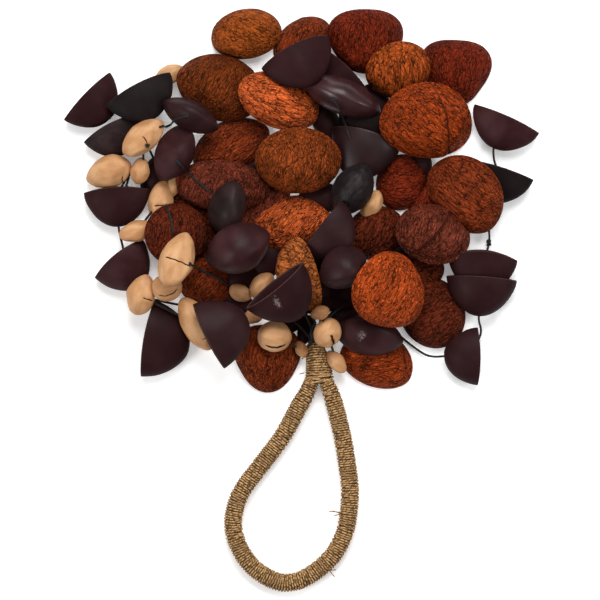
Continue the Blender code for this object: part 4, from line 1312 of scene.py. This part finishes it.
class SHAKER_OT_handle(bpy.types.Operator):
    """Wind the twine round the hand loop and the neck, over the black core."""

    bl_idname = "shaker.handle"
    bl_label = "Handle"

    def execute(self, context):
        settings = context.scene.shaker_twine
        look = twine_material("plant_twine", settings)
        self.loop(settings, look)
        self.neck(settings, look)
        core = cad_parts["handle_core"]
        core.data.materials.clear()
        core.data.materials.append(core_material("core_cords"))
        rng = np.random.default_rng(9)
        for number, (x, y, z, reach) in enumerate(STRAY_FIBRES):
            aim = rng.normal(0, 1, 3) * (1, 1, 0.3)
            start = np.array((x, y, z))
            away = np.array((*reach, 0.4))
            line = [start - away * 0.3, start, start + away * 0.5 + aim * 0.3,
                    start + away + aim * 0.5]
            tube_piece(f"stray_fibre_{number + 1}", smooth_line(line, 0.4) * MM, FIBRE_RADIUS, 0,
                       look, FIBRE_TWIST)
        return {"FINISHED"}

    def finish_twine(self, name, node, line, centres, settings, look):
        """A tube of twine, clear of the floor, with painted shade on its inner side toward the
        core.
        """
        line[:, 2] = np.maximum(line[:, 2], settings.diameter / MM / 2)
        piece = tube_piece(name, line * MM, settings.diameter / 2, 1, look, TWINE_TWIST,
                           node)
        count = len(piece.data.vertices)
        sides = count // len(line)
        points = np.empty(count * 3)
        piece.data.vertices.foreach_get("co", points)
        points = points.reshape(-1, 3) / MM
        station = np.minimum(np.arange(count) // sides, len(line) - 1)
        out = np.linalg.norm(points - centres[station], axis=1)
        middle = np.linalg.norm(line - centres, axis=1)[station]
        # Painted shade: groove rises toward the inner side of the tube
        store(piece, "groove", np.clip(1.5 - (out - middle) / 0.36, 0, 1))
        along = distances(line)[station] * 0.35
        store(piece, "form", np.column_stack([along, points[:, 0], points[:, 1]]))

    def loop(self, settings, look):
        """The loop's twine as one long winding."""
        centre = core_line(settings.pitch / MM / LOOP_STEPS)
        centre = centre[centre[:, 1] < LOOP_START + 1.6]
        forward = np.gradient(centre, axis=0)
        forward /= np.linalg.norm(forward, axis=1)[:, None]
        across = np.column_stack([-forward[:, 1], forward[:, 0], np.zeros(len(centre))])
        across /= np.linalg.norm(across, axis=1)[:, None]
        up = np.cross(forward, across)
        radius = core_radius(centre[:, 1]) + CORE_GAP + settings.diameter / MM / 2
        rng = np.random.default_rng(4)
        turns = np.arange(len(centre)) / LOOP_STEPS
        knots = np.arange(len(centre) // LOOP_STEPS + 2)
        slack, slide, tilt = (np.interp(turns, knots, rng.normal(0, spread, len(knots)))
                              for spread in (0.05, 0.07, 0.34))
        angle = 2 * math.pi * turns
        radius = (radius + np.maximum(slack, -0.1))[:, None]
        line = centre + radius * (np.cos(angle)[:, None] * across + np.sin(angle)[:, None] * up)
        line += forward * (slide + (0.35 + tilt) * np.cos(angle))[:, None]
        self.padding("loop_padding", centre[::6], LOOP_PADDING, look)
        self.finish_twine("twine_on_loop", "loop_twine", line, centre, settings, look)

    def padding(self, name, centre, above, look):
        """A layer under the turns, all painted in the dark colour as the shade seen between them.
        """
        thick = core_radius(centre[:, 1]) + above
        piece = tube_piece(name, centre * MM, MM, 3, look, TWINE_TWIST, thick=thick)
        # Painted shade: the whole layer takes the dark colour
        store(piece, "groove", np.full(len(piece.data.vertices), 1.0))

    def neck(self, settings, look):
        """The neck's twine round both legs."""
        centre = core_line(0.5)
        half = len(centre) // 2
        count = int((NECK_TOP - NECK_END + 1.0) / (settings.pitch / MM)) * NECK_STEPS
        levels = np.linspace(NECK_TOP, NECK_END - 1.0, count)
        left = np.interp(-levels, -centre[:half, 1], centre[:half, 0])
        right = np.interp(-levels, -centre[half:, 1][::-1], centre[half:, 0][::-1])
        middle, spread = (left + right) / 2, (right - left) / 2
        top = np.clip((NECK_TOP - levels) / TOP_REACH, 0, 1)
        radius = core_radius(levels) + CORE_GAP + settings.diameter / MM / 2
        radius = radius - NECK_ROUNDING * (1 - top) ** 2
        turns = np.arange(count) / NECK_STEPS
        angle = 2 * math.pi * turns
        soft = np.tanh(3.0 * np.cos(angle))
        spread = spread * (0.45 + 0.55 * top)
        rng = np.random.default_rng(6)
        knots = np.arange(count // NECK_STEPS + 2)
        low = np.clip((NECK_END + 5.0 - levels) / 4.0, 0, 1)
        crossing = np.interp(turns, knots, np.where(knots % 2, CROSSING, -CROSSING))
        tilt = np.interp(turns, knots, rng.normal(0.2, 0.16, len(knots))) + low * crossing
        arch = NECK_ARCH * np.clip(1 - (NECK_TOP - levels) / ARCH_REACH, 0, 1)
        line = np.column_stack([
            middle + spread * soft + radius * np.cos(angle),
            levels + tilt * np.cos(angle) + arch * (np.sin(angle) ** 2 - 0.7),
            NECK_HEIGHT + (radius + 0.5 * low) * np.sin(angle),
        ])
        height = np.full(count, NECK_HEIGHT)
        for name, side in (("left_neck_padding", left), ("right_neck_padding", right)):
            leg = np.column_stack([side, levels, height])[10::8]
            self.padding(name, leg, NECK_PADDING, look)
        centres = np.column_stack([middle + spread * soft, levels, height])
        self.finish_twine("twine_on_neck", "neck_binding", line, centres, settings, look)


class SHAKER_PT_panel(bpy.types.Panel):
    """The shaker's sizes, colours and steps."""

    bl_idname = "SHAKER_PT_panel"
    bl_label = "Seed Shaker"
    bl_space_type = "VIEW_3D"
    bl_region_type = "UI"
    bl_category = "Seed Shaker"

    def draw(self, context):
        layout = self.layout
        for settings in ("shaker_shells", "shaker_cords", "shaker_twine", "shaker_studio"):
            box = layout.box()
            group = getattr(context.scene, settings)
            for key in group.__annotations__:
                box.prop(group, key)
        for operator in OPERATORS:
            layout.operator(operator.bl_idname)


GROUPS = {
    "shaker_shells": ShellSettings,
    "shaker_cords": CordSettings,
    "shaker_twine": TwineSettings,
    "shaker_studio": StudioSettings,
}
OPERATORS = (
    SHAKER_OT_stage, SHAKER_OT_cords, SHAKER_OT_brown_shells, SHAKER_OT_dark_shells,
    SHAKER_OT_buried, SHAKER_OT_nuts, SHAKER_OT_handle, SHAKER_OT_cord_runs,
)
CLASSES = (*GROUPS.values(), *OPERATORS, SHAKER_PT_panel)


def register():
    for cls in CLASSES:
        bpy.utils.register_class(cls)
    for name, group in GROUPS.items():
        setattr(bpy.types.Scene, name, PointerProperty(type=group))


def unregister():
    for name in GROUPS:
        delattr(bpy.types.Scene, name)
    for cls in reversed(CLASSES):
        bpy.utils.unregister_class(cls)


def main():
    """Register the add-on and run its steps."""
    register()
    bpy.ops.shaker.stage()
    bpy.ops.shaker.cords()
    bpy.ops.shaker.brown_shells()
    bpy.ops.shaker.dark_shells()
    bpy.ops.shaker.buried()
    bpy.ops.shaker.nuts()
    bpy.ops.shaker.handle()
    bpy.ops.shaker.cord_runs()


if __name__ == "__main__":
    main()
